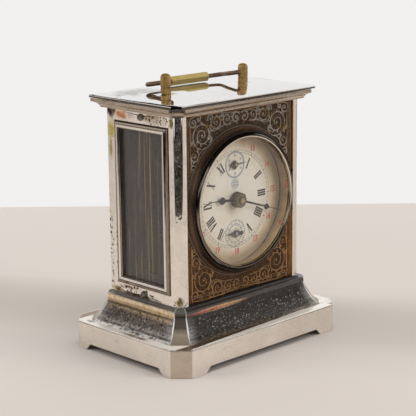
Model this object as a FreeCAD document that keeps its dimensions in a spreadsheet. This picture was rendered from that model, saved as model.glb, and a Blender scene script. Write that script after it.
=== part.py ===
import FreeCAD, Part
import math
import os
import re

import Sketcher

# A nickel-plated carriage clock with an alarm, about 1900, in millimetres.  The origin is the middle
# of the underside, +Z is up, the dial faces -Y and the winding keys are at the back, +Y.

Vector = FreeCAD.Vector
BACKWARDS = Vector(0, 1, 0)
UP = Vector(0, 0, 1)

# --------------------------------------------------------------------------------------------------
# Driving dimensions
# --------------------------------------------------------------------------------------------------

SIZES = [
    ("plinth_width", 138.3, "plinth, side to side"),
    ("plinth_depth", 97.9, "plinth, front to back"),
    ("plinth_height", 16.8, "plinth, feet included"),
    ("plinth_corner", 8.7, "cut-off corner of the plinth"),
    ("sheet_metal", 1.2, "thickness of the pressed case sheet"),
    ("foot_gap_height", 3.6, "height of the cut-outs between the feet"),
    ("foot_gap_slant", 3.2, "run of each cut-out's slanted end"),
    ("foot_length_front", 20.1, "foot along the front edge, at the ground"),
    ("foot_length_side", 15.5, "foot along the side edge, at the ground"),
    ("body_width", 102.3, "case body, side to side"),
    ("body_depth", 59.8, "case body, front to back"),
    ("body_bottom", 34.3, "underside of the case body"),
    ("body_top", 145.0, "top of the case body"),
    ("body_corner", 3.2, "cut-off front corner of the case body; its back corners are square"),
    ("body_bend", 1.2, "rounding of the sheet's bends beside that corner"),
    ("strip_width", 3.6, "nickel strip beside the front panel"),
    ("cove_foot_reach", 12.7, "moulding's reach past the body, on the plinth"),
    ("cove_neck_reach", 3.8, "moulding's reach past the body, under the ledge"),
    ("cove_neck_height", 29.9, "level where the cove ends"),
    ("ledge_reach", 4.0, "ledge's reach past the body"),
    ("ledge_bottom", 30.3, "underside of the ledge"),
    ("ledge_top", 33.5, "top of the ledge's rounded edge"),
    ("cornice_soffit_reach", 3.5, "first step under the top plate"),
    ("cornice_soffit_top", 146.0, "top of that step"),
    ("cornice_cove_top", 148.4, "top of the cornice's cove"),
    ("cornice_lip_reach", 7.5, "cornice lip's reach past the body"),
    ("cornice_top", 150.2, "top of the cornice"),
    ("cornice_back_corner", 1.6, "cut-off back corner of the cornice and the top plate"),
    ("top_plate_width", 118.8, "top plate, side to side"),
    ("top_plate_depth", 75.3, "top plate, front to back"),
    ("top_plate_corner", 4.2, "cut-off front corner of the top plate"),
    ("top_plate_edge", 152.1, "upper surface at the top plate's edges"),
    ("top_plate_crown", 1.7, "how far the top plate swells in its middle"),
    ("top_plate_thickness", 1.2, "thickness of the top plate"),
    ("post_spacing", 63.8, "between the axes of the handle posts"),
    ("post_radius", 3.0, "handle post"),
    ("post_top", 165.0, "top of the handle posts, the clock's height"),
    ("bail_pivot_height", 159.9, "axis on which the handle folds"),
    ("bail_reach", 19.2, "from that axis to the grip's axis"),
    ("bail_wire_radius", 1.35, "wire of the handle"),
    ("bail_pin_radius", 1.0, "turned-down ends of the wire"),
    ("bail_half_width", 27.2, "half the distance between the handle's arms"),
    ("bail_flare", 4.4, "how far each arm spreads on its way to the grip"),
    ("bail_tilt", 10.0, "degrees the folded handle slopes down"),
    ("grip_length", 35.0, "six-sided brass grip"),
    ("grip_offset", 2.6, "how far the grip has slid along its wire, to the right"),
    ("grip_flats", 5.5, "grip, across its flats"),
    ("dial_height", 89.6, "level of the dial's centre"),
    ("window_height", 88.6, "side window, clear height"),
    ("window_depth", 36.3, "side window, clear depth"),
    ("window_set_back", 0.55, "how far the side window's middle lies behind the body's"),
    ("window_middle", 89.4, "level of the side window's middle"),
    ("window_frame_width", 4.5, "moulding round the side window"),
    ("window_frame_rise", 1.7, "how far that moulding stands proud"),
    ("mask_face", 28.5, "front panel's face, forward of the middle"),
    ("mask_thickness", 1.0, "front panel"),
    ("ring_outer", 44.2, "outer radius of the ring pressed in the front panel"),
    ("ring_inner", 40.5, "inner radius of that ring"),
    ("ring_rise", 4.0, "how far that ring stands proud of the panel"),
    ("bezel_outer", 40.3, "outer radius of the dial's bezel"),
    ("bezel_inner", 37.9, "clear radius of the bezel"),
    ("bezel_front", 34.0, "bezel's front edge, forward of the middle"),
    ("glass_radius", 38.7, "dial glass"),
    ("glass_front", 32.6, "dial glass's face, forward of the middle"),
    ("glass_thickness", 1.2, "dial glass and side glasses"),
    ("surround_radius", 38.6, "clear radius of the wall round the dial"),
    ("dial_radius", 41.0, "dial"),
    ("dial_face", 24.0, "dial's face, forward of the middle"),
    ("dial_thickness", 0.6, "dial"),
    ("subdial_offset", 20.8, "from the centre to each small dial's centre"),
    ("front_plate_face", 19.6, "movement's front plate, forward of the middle"),
    ("rear_plate_face", 11.0, "inner face of the rear plate, behind the middle"),
    ("movement_plate", 1.5, "thickness of the movement's plates"),
    ("movement_half_width", 38.0, "movement plates"),
    ("movement_top", 131.0, "top of the movement plates"),
    ("seat_thickness", 1.2, "plate that the movement stands on"),
    ("bell_radius", 24.0, "bell in the base"),
    ("bell_depth", 12.0, "bell"),
    ("door_width", 74.0, "rear door"),
    ("door_height", 96.0, "rear door"),
    ("running_clearance", 0.05, "between a pivot and its hole"),
]

doc = FreeCAD.newDocument("CarriageClock")
sheet = doc.addObject("Spreadsheet::Sheet", "Sizes")
for row, (alias, value, note) in enumerate(SIZES, start=1):
    sheet.set("A%d" % row, alias)
    sheet.set("B%d" % row, str(value))
    sheet.setAlias("B%d" % row, alias)
    sheet.set("C%d" % row, note)
doc.recompute()
ALIASES = {alias for alias, _, _ in SIZES}


def size(alias):
    """A driving dimension, read from the sheet."""
    return float(sheet.get(alias))


def bind(text):
    """Write 'plinth_width / 2' as an expression on the sheet's cells."""

    def cell(word):
        return "Sizes." + word.group() if word.group() in ALIASES else word.group()

    return re.sub(r"[a-z][a-z0-9_]*", cell, text)


# --------------------------------------------------------------------------------------------------
# Sketches and features
# --------------------------------------------------------------------------------------------------

SUBPARTS = []
POST_SHANK = 1.5


def keep(feature, label):
    """Name a finished sub-part, which is written to a file of that name."""
    feature.Label = label
    SUBPARTS.append(feature)
    return feature


def new_body(label):
    return keep(doc.addObject("PartDesign::Body", label), label)


def attach(sketch, body, role, offset):
    """Lay a sketch on one of its body's origin planes, moved along the plane's normal."""
    plane = [item for item in body.Origin.OriginFeatures if item.Role == role][0]
    sketch.AttachmentSupport = [(plane, "")]
    sketch.MapMode = "FlatFace"
    sketch.setExpression("AttachmentOffset.Base.z", bind(offset))


def body_sketch(body, role, offset="0"):
    sketch = body.newObject("Sketcher::SketchObject", body.Name + "Sketch")
    attach(sketch, body, role, offset)
    return sketch


def pin_point(sketch, geometry, corner, across, up):
    """Fix one point of a sketch at two distances from the sketch's origin."""
    for kind, text in (("DistanceX", across), ("DistanceY", up)):
        index = sketch.addConstraint(Sketcher.Constraint(kind, -1, 1, geometry, corner, 1.0))
        sketch.setExpression("Constraints[%d]" % index, bind(text))


def outline(sketch, points):
    """A closed outline of straight lines through points given as pairs of expressions."""
    count = len(points)
    first = sketch.GeometryCount
    rough = [Vector(50 * math.cos(2 * math.pi * i / count), 50 * math.sin(2 * math.pi * i / count), 0)
             for i in range(count)]
    for i in range(count):
        sketch.addGeometry(Part.LineSegment(rough[i], rough[(i + 1) % count]), False)
    for i in range(count):
        after = first + (i + 1) % count
        sketch.addConstraint(Sketcher.Constraint("Coincident", first + i, 2, after, 1))
    for i, (across, up) in enumerate(points):
        pin_point(sketch, first + i, 1, across, up)


def rectangle(sketch, left, bottom, right, top):
    outline(sketch, [(left, bottom), (right, bottom), (right, top), (left, top)])


def circle(sketch, across, up, radius):
    index = sketch.addGeometry(Part.Circle(Vector(0, 0, 0), UP, 1.0), False)
    pin_point(sketch, index, 3, across, up)
    limit = sketch.addConstraint(Sketcher.Constraint("Radius", index, 1.0))
    sketch.setExpression("Constraints[%d]" % limit, bind(radius))


def octagon(sketch, half_width, half_depth, cut, back_cut=None):
    """A rectangle about the origin with its four corners cut off at 45 degrees."""
    a, b, c, d = ("(%s)" % text for text in (half_width, half_depth, cut, back_cut or cut))
    outline(sketch, [("%s - %s" % (a, c), "-" + b), (a, "%s - %s" % (c, b)),
                     (a, "%s - %s" % (b, d)), ("%s - %s" % (a, d), b),
                     ("%s - %s" % (d, a), b), ("-" + a, "%s - %s" % (b, d)),
                     ("-" + a, "%s - %s" % (c, b)), ("%s - %s" % (c, a), "-" + b)])


def extrude(body, sketch, length, reverse=False, kind="Pad"):
    """A pad or pocket of a sketch, its length an expression."""
    feature = body.newObject("PartDesign::" + kind, body.Name + kind)
    feature.Profile = sketch
    feature.setExpression("Length", bind(length))
    feature.Reversed = reverse
    doc.recompute()
    return feature


def through(body, sketch):
    """Cut a sketch right through the body, both ways."""
    feature = body.newObject("PartDesign::Pocket", body.Name + "Cut")
    feature.Profile = sketch
    feature.Type = "ThroughAll"
    feature.Midplane = True
    doc.recompute()
    return feature


def turn(body, sketch, axis, kind="Revolution"):
    """Turn a sketch about one of its own axes, or about the line that it carries."""
    feature = body.newObject("PartDesign::" + kind, body.Name + kind)
    feature.Profile = sketch
    feature.ReferenceAxis = (sketch, [axis])
    feature.Angle = 360
    doc.recompute()
    return feature


def edges_where(feature, test):
    """Names of the edges whose middle passes a test."""
    names = []
    for number, edge in enumerate(feature.Shape.Edges, start=1):
        middle = edge.valueAt((edge.FirstParameter + edge.LastParameter) / 2)
        if test(middle, edge):
            names.append("Edge%d" % number)
    return names


def round_off(body, base, radius, test, kind="Fillet"):
    feature = body.newObject("PartDesign::" + kind, body.Name + kind)
    feature.Base = (base, edges_where(base, test))
    feature.setExpression("Radius" if kind == "Fillet" else "Size", bind(radius))
    doc.recompute()
    return feature


def part_object(kind, label, **links):
    feature = doc.addObject("Part::" + kind, label)
    for name, value in links.items():
        setattr(feature, name, value)
    return feature


def shaped(label, shape):
    """A sub-part whose form is worked out below from the sheet's sizes."""
    feature = doc.addObject("Part::Feature", label)
    feature.Shape = shape
    return keep(feature, label)


def turned_about_dial(label, height, points):
    """A body turned about a front-to-back axis at a level; points are (radius, depth) pairs."""
    body = new_body(label)
    sketch = body_sketch(body, "YZ_Plane")
    outline(sketch, [(depth, "%s + %s" % (height, radius)) for radius, depth in points])
    line = sketch.addGeometry(Part.LineSegment(Vector(-60, 1, 0), Vector(60, 1, 0)), True)
    pin_point(sketch, line, 1, "-60", height)
    pin_point(sketch, line, 2, "60", height)
    turn(body, sketch, "Axis0")
    return body


def turned_upright(label, across, points):
    """A body turned about an upright axis at a distance across; points are (radius, level)."""
    body = new_body(label)
    sketch = body_sketch(body, "XZ_Plane")
    outline(sketch, [("%s + %s" % (across, radius), level) for radius, level in points])
    line = sketch.addGeometry(Part.LineSegment(Vector(1, -10, 0), Vector(1, 200, 0)), True)
    pin_point(sketch, line, 1, across, "-10")
    pin_point(sketch, line, 2, across, "200")
    turn(body, sketch, "Axis0")
    return body


# --------------------------------------------------------------------------------------------------
# Case
# --------------------------------------------------------------------------------------------------


def make_plinth():
    """Pressed plinth: a hollow tray upside down, with bracket feet at its corners."""
    body = new_body("plinth")
    sketch = body_sketch(body, "XY_Plane")
    octagon(sketch, "plinth_width / 2", "plinth_depth / 2", "plinth_corner")
    pad = extrude(body, sketch, "plinth_height")
    round_off(body, pad, "1", lambda p, e: p.z > size("plinth_height") - 0.01)
    inside = body_sketch(body, "XY_Plane")
    octagon(inside, "plinth_width / 2 - sheet_metal", "plinth_depth / 2 - sheet_metal",
            "plinth_corner - 0.586 * sheet_metal")
    extrude(body, inside, "plinth_height - sheet_metal", reverse=True, kind="Pocket")
    hole = body_sketch(body, "XY_Plane")
    rectangle(hole, "-body_width / 2 - 4", "-body_depth / 2 - 4",
              "body_width / 2 + 4", "body_depth / 2 + 4")
    through(body, hole)
    for role, reach, foot in (("XZ_Plane", "plinth_width / 2", "foot_length_front"),
                              ("YZ_Plane", "plinth_depth / 2", "foot_length_side")):
        gap = body_sketch(body, role)
        ground = "(%s - %s)" % (reach, foot)
        top = "(%s - foot_gap_slant)" % ground
        outline(gap, [("-" + ground, "-1"), (ground, "-1"), (ground, "0"),
                      (top, "foot_gap_height"), ("-" + top, "foot_gap_height"),
                      ("-" + ground, "0")])
        through(body, gap)


def stacked_octagons(label, levels, back_cut=None):
    """A smooth loft through cut-cornered rectangles; levels are (level, reach past the body)."""
    sections = []
    for level, reach in levels:
        sketch = doc.addObject("Sketcher::SketchObject", label + "Section")
        sketch.setExpression("Placement.Base.z", bind(level))
        octagon(sketch, "body_width / 2 + " + reach, "body_depth / 2 + " + reach,
                "body_corner + 0.42 * (%s)" % reach, back_cut)
        sections.append(sketch)
    doc.recompute()
    return part_object("Loft", label, Sections=sections, Solid=True, Ruled=len(levels) == 2)


def cove_levels(bottom, top, start, end, profile):
    """Levels and reaches along a hollow; its profile is in shares of the rise and of the reach."""
    return [("%s + (%s - %s) * %.3f" % (bottom, top, bottom, rise),
             "%s + (%s - %s) * %.3f" % (start, end, start, run)) for rise, run in profile]


def make_base_moulding():
    """Hollow moulding between plinth and body: a cove, a narrow groove and a rounded ledge."""
    profile = [(0, 0), (0.06, 0.16), (0.19, 0.36), (0.41, 0.58), (0.67, 0.79), (1, 1)]
    cove = stacked_octagons("Cove", cove_levels("plinth_height", "cove_neck_height",
                                                "cove_foot_reach", "cove_neck_reach", profile))
    neck = stacked_octagons("Neck", [("cove_neck_height", "cove_neck_reach - 0.3"),
                                     ("ledge_bottom", "cove_neck_reach - 0.3")])
    ledge = stacked_octagons("Ledge", [("ledge_bottom", "ledge_reach"),
                                       ("ledge_top", "ledge_reach")])
    seat = stacked_octagons("Seat", [("ledge_top", "1.6"), ("body_bottom", "0.9")], "0.6")
    hollow = part_object("Box", "MouldingHollow")
    for name, text in (("Length", "body_width - 6"), ("Width", "body_depth - 8"),
                       ("Height", "30"), ("Placement.Base.x", "3 - body_width / 2"),
                       ("Placement.Base.y", "4 - body_depth / 2"),
                       ("Placement.Base.z", "plinth_height - 1")):
        hollow.setExpression(name, bind(text))
    doc.recompute()
    rounded = part_object("Fillet", "LedgeRound", Base=ledge)
    top, bottom = size("ledge_top"), size("ledge_bottom")
    levels = [(number, edge.CenterOfMass.z) for number, edge in enumerate(ledge.Shape.Edges, start=1)]
    rounded.Edges = ([(number, 1.4, 1.4) for number, level in levels if abs(level - top) < 0.01]
                     + [(number, 0.6, 0.6) for number, level in levels if abs(level - bottom) < 0.01])
    doc.recompute()
    solid = part_object("MultiFuse", "MouldingSolid", Shapes=[cove, neck, rounded, seat])
    keep(part_object("Cut", "base_moulding", Base=solid, Tool=hollow), "base_moulding")


def make_side_panel(label, side):
    """Bent sheet: one side of the case, its cut front corner and the strips that turn in."""
    body = new_body(label)
    sketch = body_sketch(body, "XY_Plane", "body_bottom")
    sign = "" if side > 0 else "-"
    strip, bend, face = ("body_width / 2 - body_corner - strip_width", "body_width / 2 - body_corner",
                         "body_width / 2")
    back, cut = "body_depth / 2", "body_depth / 2 - body_corner"
    outside = [(strip, "-(%s)" % back), (bend, "-(%s)" % back), (face, "-(%s)" % cut),
               (face, back), (strip, back)]
    inside = [(strip, back + " - sheet_metal"), (face + " - sheet_metal", back + " - sheet_metal"),
              (face + " - sheet_metal", "-(%s - 0.4142 * sheet_metal)" % cut),
              (bend + " - 0.4142 * sheet_metal", "sheet_metal - body_depth / 2"),
              (strip, "sheet_metal - body_depth / 2")]
    outline(sketch, [("%s(%s)" % (sign, x), y) for x, y in outside + inside])
    bent = extrude(body, sketch, "body_top - body_bottom")
    past = size("body_width") / 2 + size("body_depth") / 2 - size("body_corner") - 0.1
    level = size("body_top") - 1
    round_off(body, bent, "body_bend", lambda p, e: abs(p.x) - p.y > past and 40 < p.z < level)
    window = body_sketch(body, "YZ_Plane")
    rectangle(window, "window_set_back - window_depth / 2 - 0.6",
              "window_middle - window_height / 2 - 0.6",
              "window_set_back + window_depth / 2 + 0.6",
              "window_middle + window_height / 2 + 0.6")
    extrude(body, window, "body_width", reverse=side > 0, kind="Pocket")


def make_window_frame(label, side):
    """Mitred moulding round a side window: a hollow slope outside and a round bead inside."""
    face = size("body_width") / 2
    rise = size("window_frame_rise")
    wide = size("window_frame_width")
    half_depth = size("window_depth") / 2
    half_height = size("window_height") / 2
    centre = Vector(0, size("window_set_back"), size("window_middle"))
    # The section runs from the outer edge in to the glass: (in from the edge, proud of the face).
    section = [(0.0, 0.0), (0.0, 0.45), (1.0, 0.6), (1.9, 0.95), (2.6, rise), (3.3, rise),
               (3.9, rise - 0.35), (4.1, rise - 0.9), (wide, rise - 1.0), (wide, 0.0)]
    rings = []
    for inward, proud in section:
        y = half_depth + wide - inward
        z = half_height + wide - inward
        corners = [(-y, -z), (y, -z), (y, z), (-y, z)]
        rings.append([centre + Vector(side * (face + proud), a, b) for a, b in corners])
    faces = []
    for i, ring in enumerate(rings):
        following = rings[(i + 1) % len(rings)]
        for k in range(4):
            quad = [ring[k], ring[(k + 1) % 4], following[(k + 1) % 4], following[k]]
            faces.append(Part.Face(Part.makePolygon(quad + quad[:1])))
    solid = Part.Solid(Part.makeShell(faces))
    if solid.Volume < 0:
        solid.reverse()
    shaped(label, solid)


def make_side_glasses():
    """The two side glasses, one node; each lies inside its panel, behind the frame's opening."""
    panes = []
    for side in (-1, 1):
        thick = size("glass_thickness")
        inner = size("body_width") / 2 - size("sheet_metal") - thick
        wide, tall = size("window_depth") + 6, size("window_height") + 6
        corner = Vector(inner if side > 0 else -inner - thick, size("window_set_back") - wide / 2,
                        size("window_middle") - tall / 2)
        panes.append(Part.makeBox(thick, wide, tall, corner))
    shaped("side_glasses", Part.makeCompound(panes))


SCREW_LEVELS = (37.2, 141.9)


def make_case_screws():
    """Round-headed screws above and below each side window, one node."""
    screws = []
    for side in (-1, 1):
        for level in SCREW_LEVELS:
            face = size("body_width") / 2 + 0.02
            head = Part.makeSphere(2.1, Vector(0, 0, 0), Vector(side, 0, 0), 0, 90, 360)
            slot = Part.makeBox(1.2, 0.5, 5, Vector(1.55 if side > 0 else -2.75, -0.25, -2.5))
            shank = Part.makeCylinder(0.9, 2.2, Vector(0, 0, 0), Vector(-side, 0, 0))
            screw = head.cut(slot).fuse(shank)
            screw.translate(Vector(side * face, size("window_set_back"), level))
            screws.append(screw)
    shaped("case_screws", Part.makeCompound(screws))


def drill_screw_holes(body):
    """Clearance holes in a side panel for the case screws."""
    holes = body_sketch(body, "YZ_Plane")
    for level in SCREW_LEVELS:
        circle(holes, "window_set_back", "%g" % level, "0.95")
    through(body, holes)


def make_cornice():
    """Cornice under the top plate: a soffit step, a hollow and a square lip."""
    soffit = stacked_octagons("Soffit", [("body_top", "cornice_soffit_reach"),
                                         ("cornice_soffit_top", "cornice_soffit_reach")],
                              "cornice_back_corner")
    profile = [(0, 0.1), (0.375, 0.25), (0.71, 0.525), (1, 0.9)]
    hollow = stacked_octagons("CorniceCove",
                              cove_levels("cornice_soffit_top", "cornice_cove_top",
                                          "cornice_soffit_reach", "cornice_lip_reach", profile),
                              "cornice_back_corner")
    lip = stacked_octagons("Lip", [("cornice_cove_top", "cornice_lip_reach"),
                                   ("cornice_top", "cornice_lip_reach")], "cornice_back_corner")
    opening = part_object("Box", "CorniceOpening")
    for name, text in (("Length", "body_width - 8"), ("Width", "body_depth - 8"),
                       ("Height", "cornice_top - body_top + 1 - sheet_metal"),
                       ("Placement.Base.x", "4 - body_width / 2"),
                       ("Placement.Base.y", "4 - body_depth / 2"),
                       ("Placement.Base.z", "body_top - 1")):
        opening.setExpression(name, bind(text))
    drills = []
    for side in (-1, 1):
        drill = part_object("Cylinder", "PostHole", Radius=POST_SHANK + 0.05, Height=20)
        drill.setExpression("Placement.Base.x", bind("%d * post_spacing / 2" % side))
        drill.setExpression("Placement.Base.z", bind("body_top"))
        drills.append(drill)
    solid = part_object("MultiFuse", "CorniceSolid", Shapes=[soffit, hollow, lip])
    voids = part_object("MultiFuse", "CorniceVoids", Shapes=[opening] + drills)
    keep(part_object("Cut", "cornice", Base=solid, Tool=voids), "cornice")


def crown(x, y):
    """Level of the top plate's upper surface: straight edges and a swollen middle."""
    across = 1 - (2 * x / size("top_plate_width")) ** 2
    along = 1 - (2 * y / size("top_plate_depth")) ** 2
    return size("top_plate_edge") + size("top_plate_crown") * across * along


def make_top_plate():
    """Polished plate, slightly swollen, with a hole for each handle post."""
    half_width, half_depth = size("top_plate_width") / 2, size("top_plate_depth") / 2
    steps = 8
    spread = [2 * i / steps - 1 for i in range(steps + 1)]
    grid = [[Vector(x, y, crown(x, y)) for y in (half_depth * share for share in spread)]
            for x in (half_width * share for share in spread)]
    surface = Part.BSplineSurface()
    surface.interpolate(grid)
    plate = surface.toShape().extrude(Vector(0, 0, -size("top_plate_thickness")))
    cut, back_cut = size("top_plate_corner"), size("cornice_back_corner")
    right = [(half_width - cut, -half_depth), (half_width, cut - half_depth),
             (half_width, half_depth - back_cut), (half_width - back_cut, half_depth)]
    corners = right + [(-x, y) for x, y in reversed(right)]
    points = [Vector(x, y, size("top_plate_edge") - 10) for x, y in corners]
    prism = Part.Face(Part.makePolygon(points + points[:1])).extrude(Vector(0, 0, 20))
    plate = plate.common(prism)
    for side in (-1, 1):
        centre = Vector(side * size("post_spacing") / 2, 0, size("cornice_top") - 5)
        plate = plate.cut(Part.makeCylinder(POST_SHANK + 0.05, 20, centre))
        seat = Vector(centre.x, 0, crown(centre.x, 0))
        plate = plate.cut(Part.makeCylinder(size("post_radius") + 0.05, 5, seat))
    shaped("top_plate", plate.Solids[0])


def make_handle_posts():
    """Turned brass posts with a groove and a domed top, bored for the handle's ends."""
    base = crown(size("post_spacing") / 2, 0)
    for label, side in (("handle_post_left", -1), ("handle_post_right", 1)):
        body = turned_upright(label, "%d * post_spacing / 2" % side, [
            ("0", "cornice_top - 4.4"), ("%g" % POST_SHANK, "cornice_top - 4.4"),
            ("%g" % POST_SHANK, "%.3f" % (base + 0.02)), ("post_radius", "%.3f" % (base + 0.02)),
            ("post_radius", "bail_pivot_height - 3.5"),
            ("post_radius - 0.35", "bail_pivot_height - 3.3"),
            ("post_radius - 0.35", "bail_pivot_height - 3"),
            ("post_radius", "bail_pivot_height - 2.8"),
            ("post_radius", "post_top - 2"), ("post_radius - 0.3", "post_top - 1.1"),
            ("post_radius - 1", "post_top - 0.4"), ("post_radius - 1.9", "post_top - 0.07"),
            ("0", "post_top")])
        hole = body_sketch(body, "YZ_Plane", "%d * (post_spacing / 2 - 0.6)" % side)
        circle(hole, "0", "bail_pivot_height", "bail_pin_radius + running_clearance")
        extrude(body, hole, "6", reverse=side < 0, kind="Pocket")


def arc_corner(points, index, radius):
    """Tangent points and middle of a rounded corner of a path."""
    before, corner, after = points[index - 1], points[index], points[index + 1]
    inward = (before - corner).normalize()
    outward = (after - corner).normalize()
    half = inward.getAngle(outward) / 2
    reach = radius / math.tan(half)
    start, end = corner + inward * reach, corner + outward * reach
    bisector = (inward + outward).normalize()
    centre = corner + bisector * (radius / math.sin(half))
    return start, centre - bisector * radius, end


def rounded_path(points, radii):
    """A wire of straight runs joined by tangent arcs, one radius per inner point."""
    edges = []
    last = points[0]
    for index, radius in enumerate(radii, start=1):
        start, middle, end = arc_corner(points, index, radius)
        edges.append(Part.LineSegment(last, start).toShape())
        edges.append(Part.Arc(start, middle, end).toShape())
        last = end
    edges.append(Part.LineSegment(last, points[-1]).toShape())
    return Part.Wire(edges)


def swept(path, radius):
    """A round wire swept along a path."""
    start = path.OrderedVertexes[0].Point
    direction = path.OrderedEdges[0].tangentAt(path.OrderedEdges[0].FirstParameter)
    section = Part.Wire(Part.makeCircle(radius, start, direction))
    return path.makePipeShell([section], True, False)


def make_handle():
    """Wire handle folded back on the top plate, and the six-sided grip in its middle."""
    half, reach, radius = size("bail_half_width"), size("bail_reach"), size("bail_wire_radius")
    pin_end = size("post_spacing") / 2 - 0.9
    shoulder = size("post_spacing") / 2 - size("post_radius") - 0.15
    arm = [Vector(shoulder, 0, 0), Vector(half - 0.4, 0, 0), Vector(half + 0.4, 9, 0),
           Vector(half + size("bail_flare"), reach, 0)]
    points = [Vector(-v.x, v.y, 0) for v in arm] + arm[::-1]
    wire = swept(rounded_path(points, [1.2, 14, 2.8, 2.8, 14, 1.2]), radius)
    for side in (-1, 1):
        start = Vector(side * (shoulder - 0.6), 0, 0)
        wire = wire.fuse(Part.makeCylinder(size("bail_pin_radius"), pin_end - shoulder + 0.6,
                                           start, Vector(side, 0, 0)))
    corner = size("grip_flats") / 2 / math.cos(math.pi / 6)
    length = size("grip_length")
    left = size("grip_offset") - length / 2
    spokes = [math.pi / 6 * (2 * k + 1) for k in range(6)]
    hexagon = [Vector(left, reach + corner * math.sin(a), corner * math.cos(a)) for a in spokes]
    bar = Part.Face(Part.makePolygon(hexagon + hexagon[:1])).extrude(Vector(length, 0, 0))
    axis = Vector(1, 0, 0)
    taper = 2.5
    blunt = Part.makeCone(corner - 1.5, corner + 1, taper, Vector(left, reach, 0), axis)
    blunt = blunt.fuse(Part.makeCylinder(corner + 1, length - 2 * taper,
                                         Vector(left + taper, reach, 0), axis))
    blunt = blunt.fuse(Part.makeCone(corner + 1, corner - 1.5, taper,
                                     Vector(left + length - taper, reach, 0), axis))
    bore = Part.makeCylinder(radius + 0.02, length + 2, Vector(left - 1, reach, 0), axis)
    grip = bar.common(blunt).cut(bore)
    folded = FreeCAD.Placement(Vector(0, 0, size("bail_pivot_height")),
                               FreeCAD.Rotation(Vector(1, 0, 0), -size("bail_tilt")))
    for label, shape in (("bail", wire), ("bail_grip", grip)):
        shaped(label, shape).Placement = folded


def make_front_mask():
    """Pressed brass front panel with a round opening and a stepped ring about it."""
    body = new_body("front_mask")
    sketch = body_sketch(body, "XZ_Plane", "mask_face")
    half = "(body_width / 2 - body_corner - 0.9)"
    rectangle(sketch, "-" + half, "body_bottom + 0.4", half, "body_top - 0.4")
    circle(sketch, "0", "dial_height", "ring_inner - 0.1")
    extrude(body, sketch, "mask_thickness", reverse=True)
    ring = body_sketch(body, "YZ_Plane")
    steps = [("ring_inner - 0.1", "-mask_face + mask_thickness / 2"),
             ("ring_inner - 0.1", "-mask_face - ring_rise + 0.3"),
             ("ring_inner + 0.2", "-mask_face - ring_rise"),
             ("ring_inner + 1.1", "-mask_face - ring_rise + 0.1"),
             ("ring_inner + 1.7", "-mask_face - 0.7 * ring_rise"),
             ("ring_inner + 2.5", "-mask_face - 0.42 * ring_rise"),
             ("ring_outer - 0.9", "-mask_face - 0.34 * ring_rise"),
             ("ring_outer - 0.5", "-mask_face - 0.4 * ring_rise"),
             ("ring_outer - 0.1", "-mask_face - 0.25 * ring_rise"),
             ("ring_outer", "-mask_face + mask_thickness / 2")]
    outline(ring, [(depth, "dial_height + " + radius) for radius, depth in steps])
    line = ring.addGeometry(Part.LineSegment(Vector(-60, 1, 0), Vector(60, 1, 0)), True)
    pin_point(ring, line, 1, "-60", "dial_height")
    pin_point(ring, line, 2, "60", "dial_height")
    turn(body, ring, "Axis0")


def make_bezel_and_glass():
    """Rounded nickel bezel, the glass held in it and the plain wall behind, down to the dial."""
    turned_about_dial("bezel", "dial_height", [
        ("bezel_inner", "-bezel_front + 0.7"), ("bezel_inner + 0.3", "-bezel_front + 0.2"),
        ("bezel_inner + 0.9", "-bezel_front"), ("bezel_outer - 0.8", "-bezel_front + 0.1"),
        ("bezel_outer - 0.2", "-bezel_front + 0.6"), ("bezel_outer", "-bezel_front + 1.3"),
        ("bezel_outer", "-mask_face + 1"), ("glass_radius + 0.1", "-mask_face + 1"),
        ("glass_radius + 0.1", "-glass_front - 0.02"), ("bezel_inner", "-glass_front - 0.02")])
    turned_about_dial("dial_glass", "dial_height", [
        ("0", "-glass_front"), ("glass_radius - 1.5", "-glass_front"),
        ("glass_radius", "-glass_front + 0.3"), ("glass_radius", "-glass_front + glass_thickness"),
        ("0", "-glass_front + glass_thickness")])
    turned_about_dial("dial_surround", "dial_height", [
        ("surround_radius - 0.6", "-glass_front + glass_thickness + 0.02"),
        ("surround_radius", "-dial_face - 0.02"), ("dial_radius - 0.4", "-dial_face - 0.02"),
        ("dial_radius - 0.4", "-dial_face - 0.6"), ("surround_radius + 0.5", "-dial_face - 0.6"),
        ("surround_radius + 0.5", "-mask_face + 1.2"), ("surround_radius + 0.1", "-mask_face + 1"),
        ("surround_radius", "-glass_front + glass_thickness + 0.02")])


def make_dial():
    """Dial disc, bored for the hands, the seconds hand above and the alarm hand below."""
    body = new_body("dial")
    sketch = body_sketch(body, "XZ_Plane", "dial_face")
    circle(sketch, "0", "dial_height", "dial_radius")
    circle(sketch, "0", "dial_height", "3.4")
    circle(sketch, "0", "dial_height + subdial_offset", "0.9")
    circle(sketch, "0", "dial_height - subdial_offset", "1.3")
    extrude(body, sketch, "dial_thickness", reverse=True)


def make_back_frame():
    """Frame behind the movement that the rear door closes."""
    body = new_body("back_frame")
    sketch = body_sketch(body, "XZ_Plane", "sheet_metal - body_depth / 2 + 0.02")
    half = "(body_width / 2 - body_corner - 0.9)"
    rectangle(sketch, "-" + half, "body_bottom + 0.4", half, "body_top - 0.4")
    extrude(body, sketch, "sheet_metal")
    hole = body_sketch(body, "XZ_Plane")
    rectangle(hole, "-door_width / 2 + 2", "dial_height - door_height / 2 + 2",
              "door_width / 2 - 2", "dial_height + door_height / 2 - 2")
    through(body, hole)
    for end in ("dial_height - door_height / 2 + 12", "dial_height + door_height / 2 - 19"):
        lug = body_sketch(body, "XZ_Plane", "-body_depth / 2 + sheet_metal + 0.02")
        rectangle(lug, "door_width / 2 + 0.7", end, "door_width / 2 + 4.6", end + " + 7")
        extrude(body, lug, "2.6", reverse=True)
    bore = body_sketch(body, "XY_Plane")
    circle(bore, "door_width / 2 + 2.6", "body_depth / 2 - sheet_metal + 1.3", "0.6 + running_clearance")
    through(body, bore)


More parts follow.
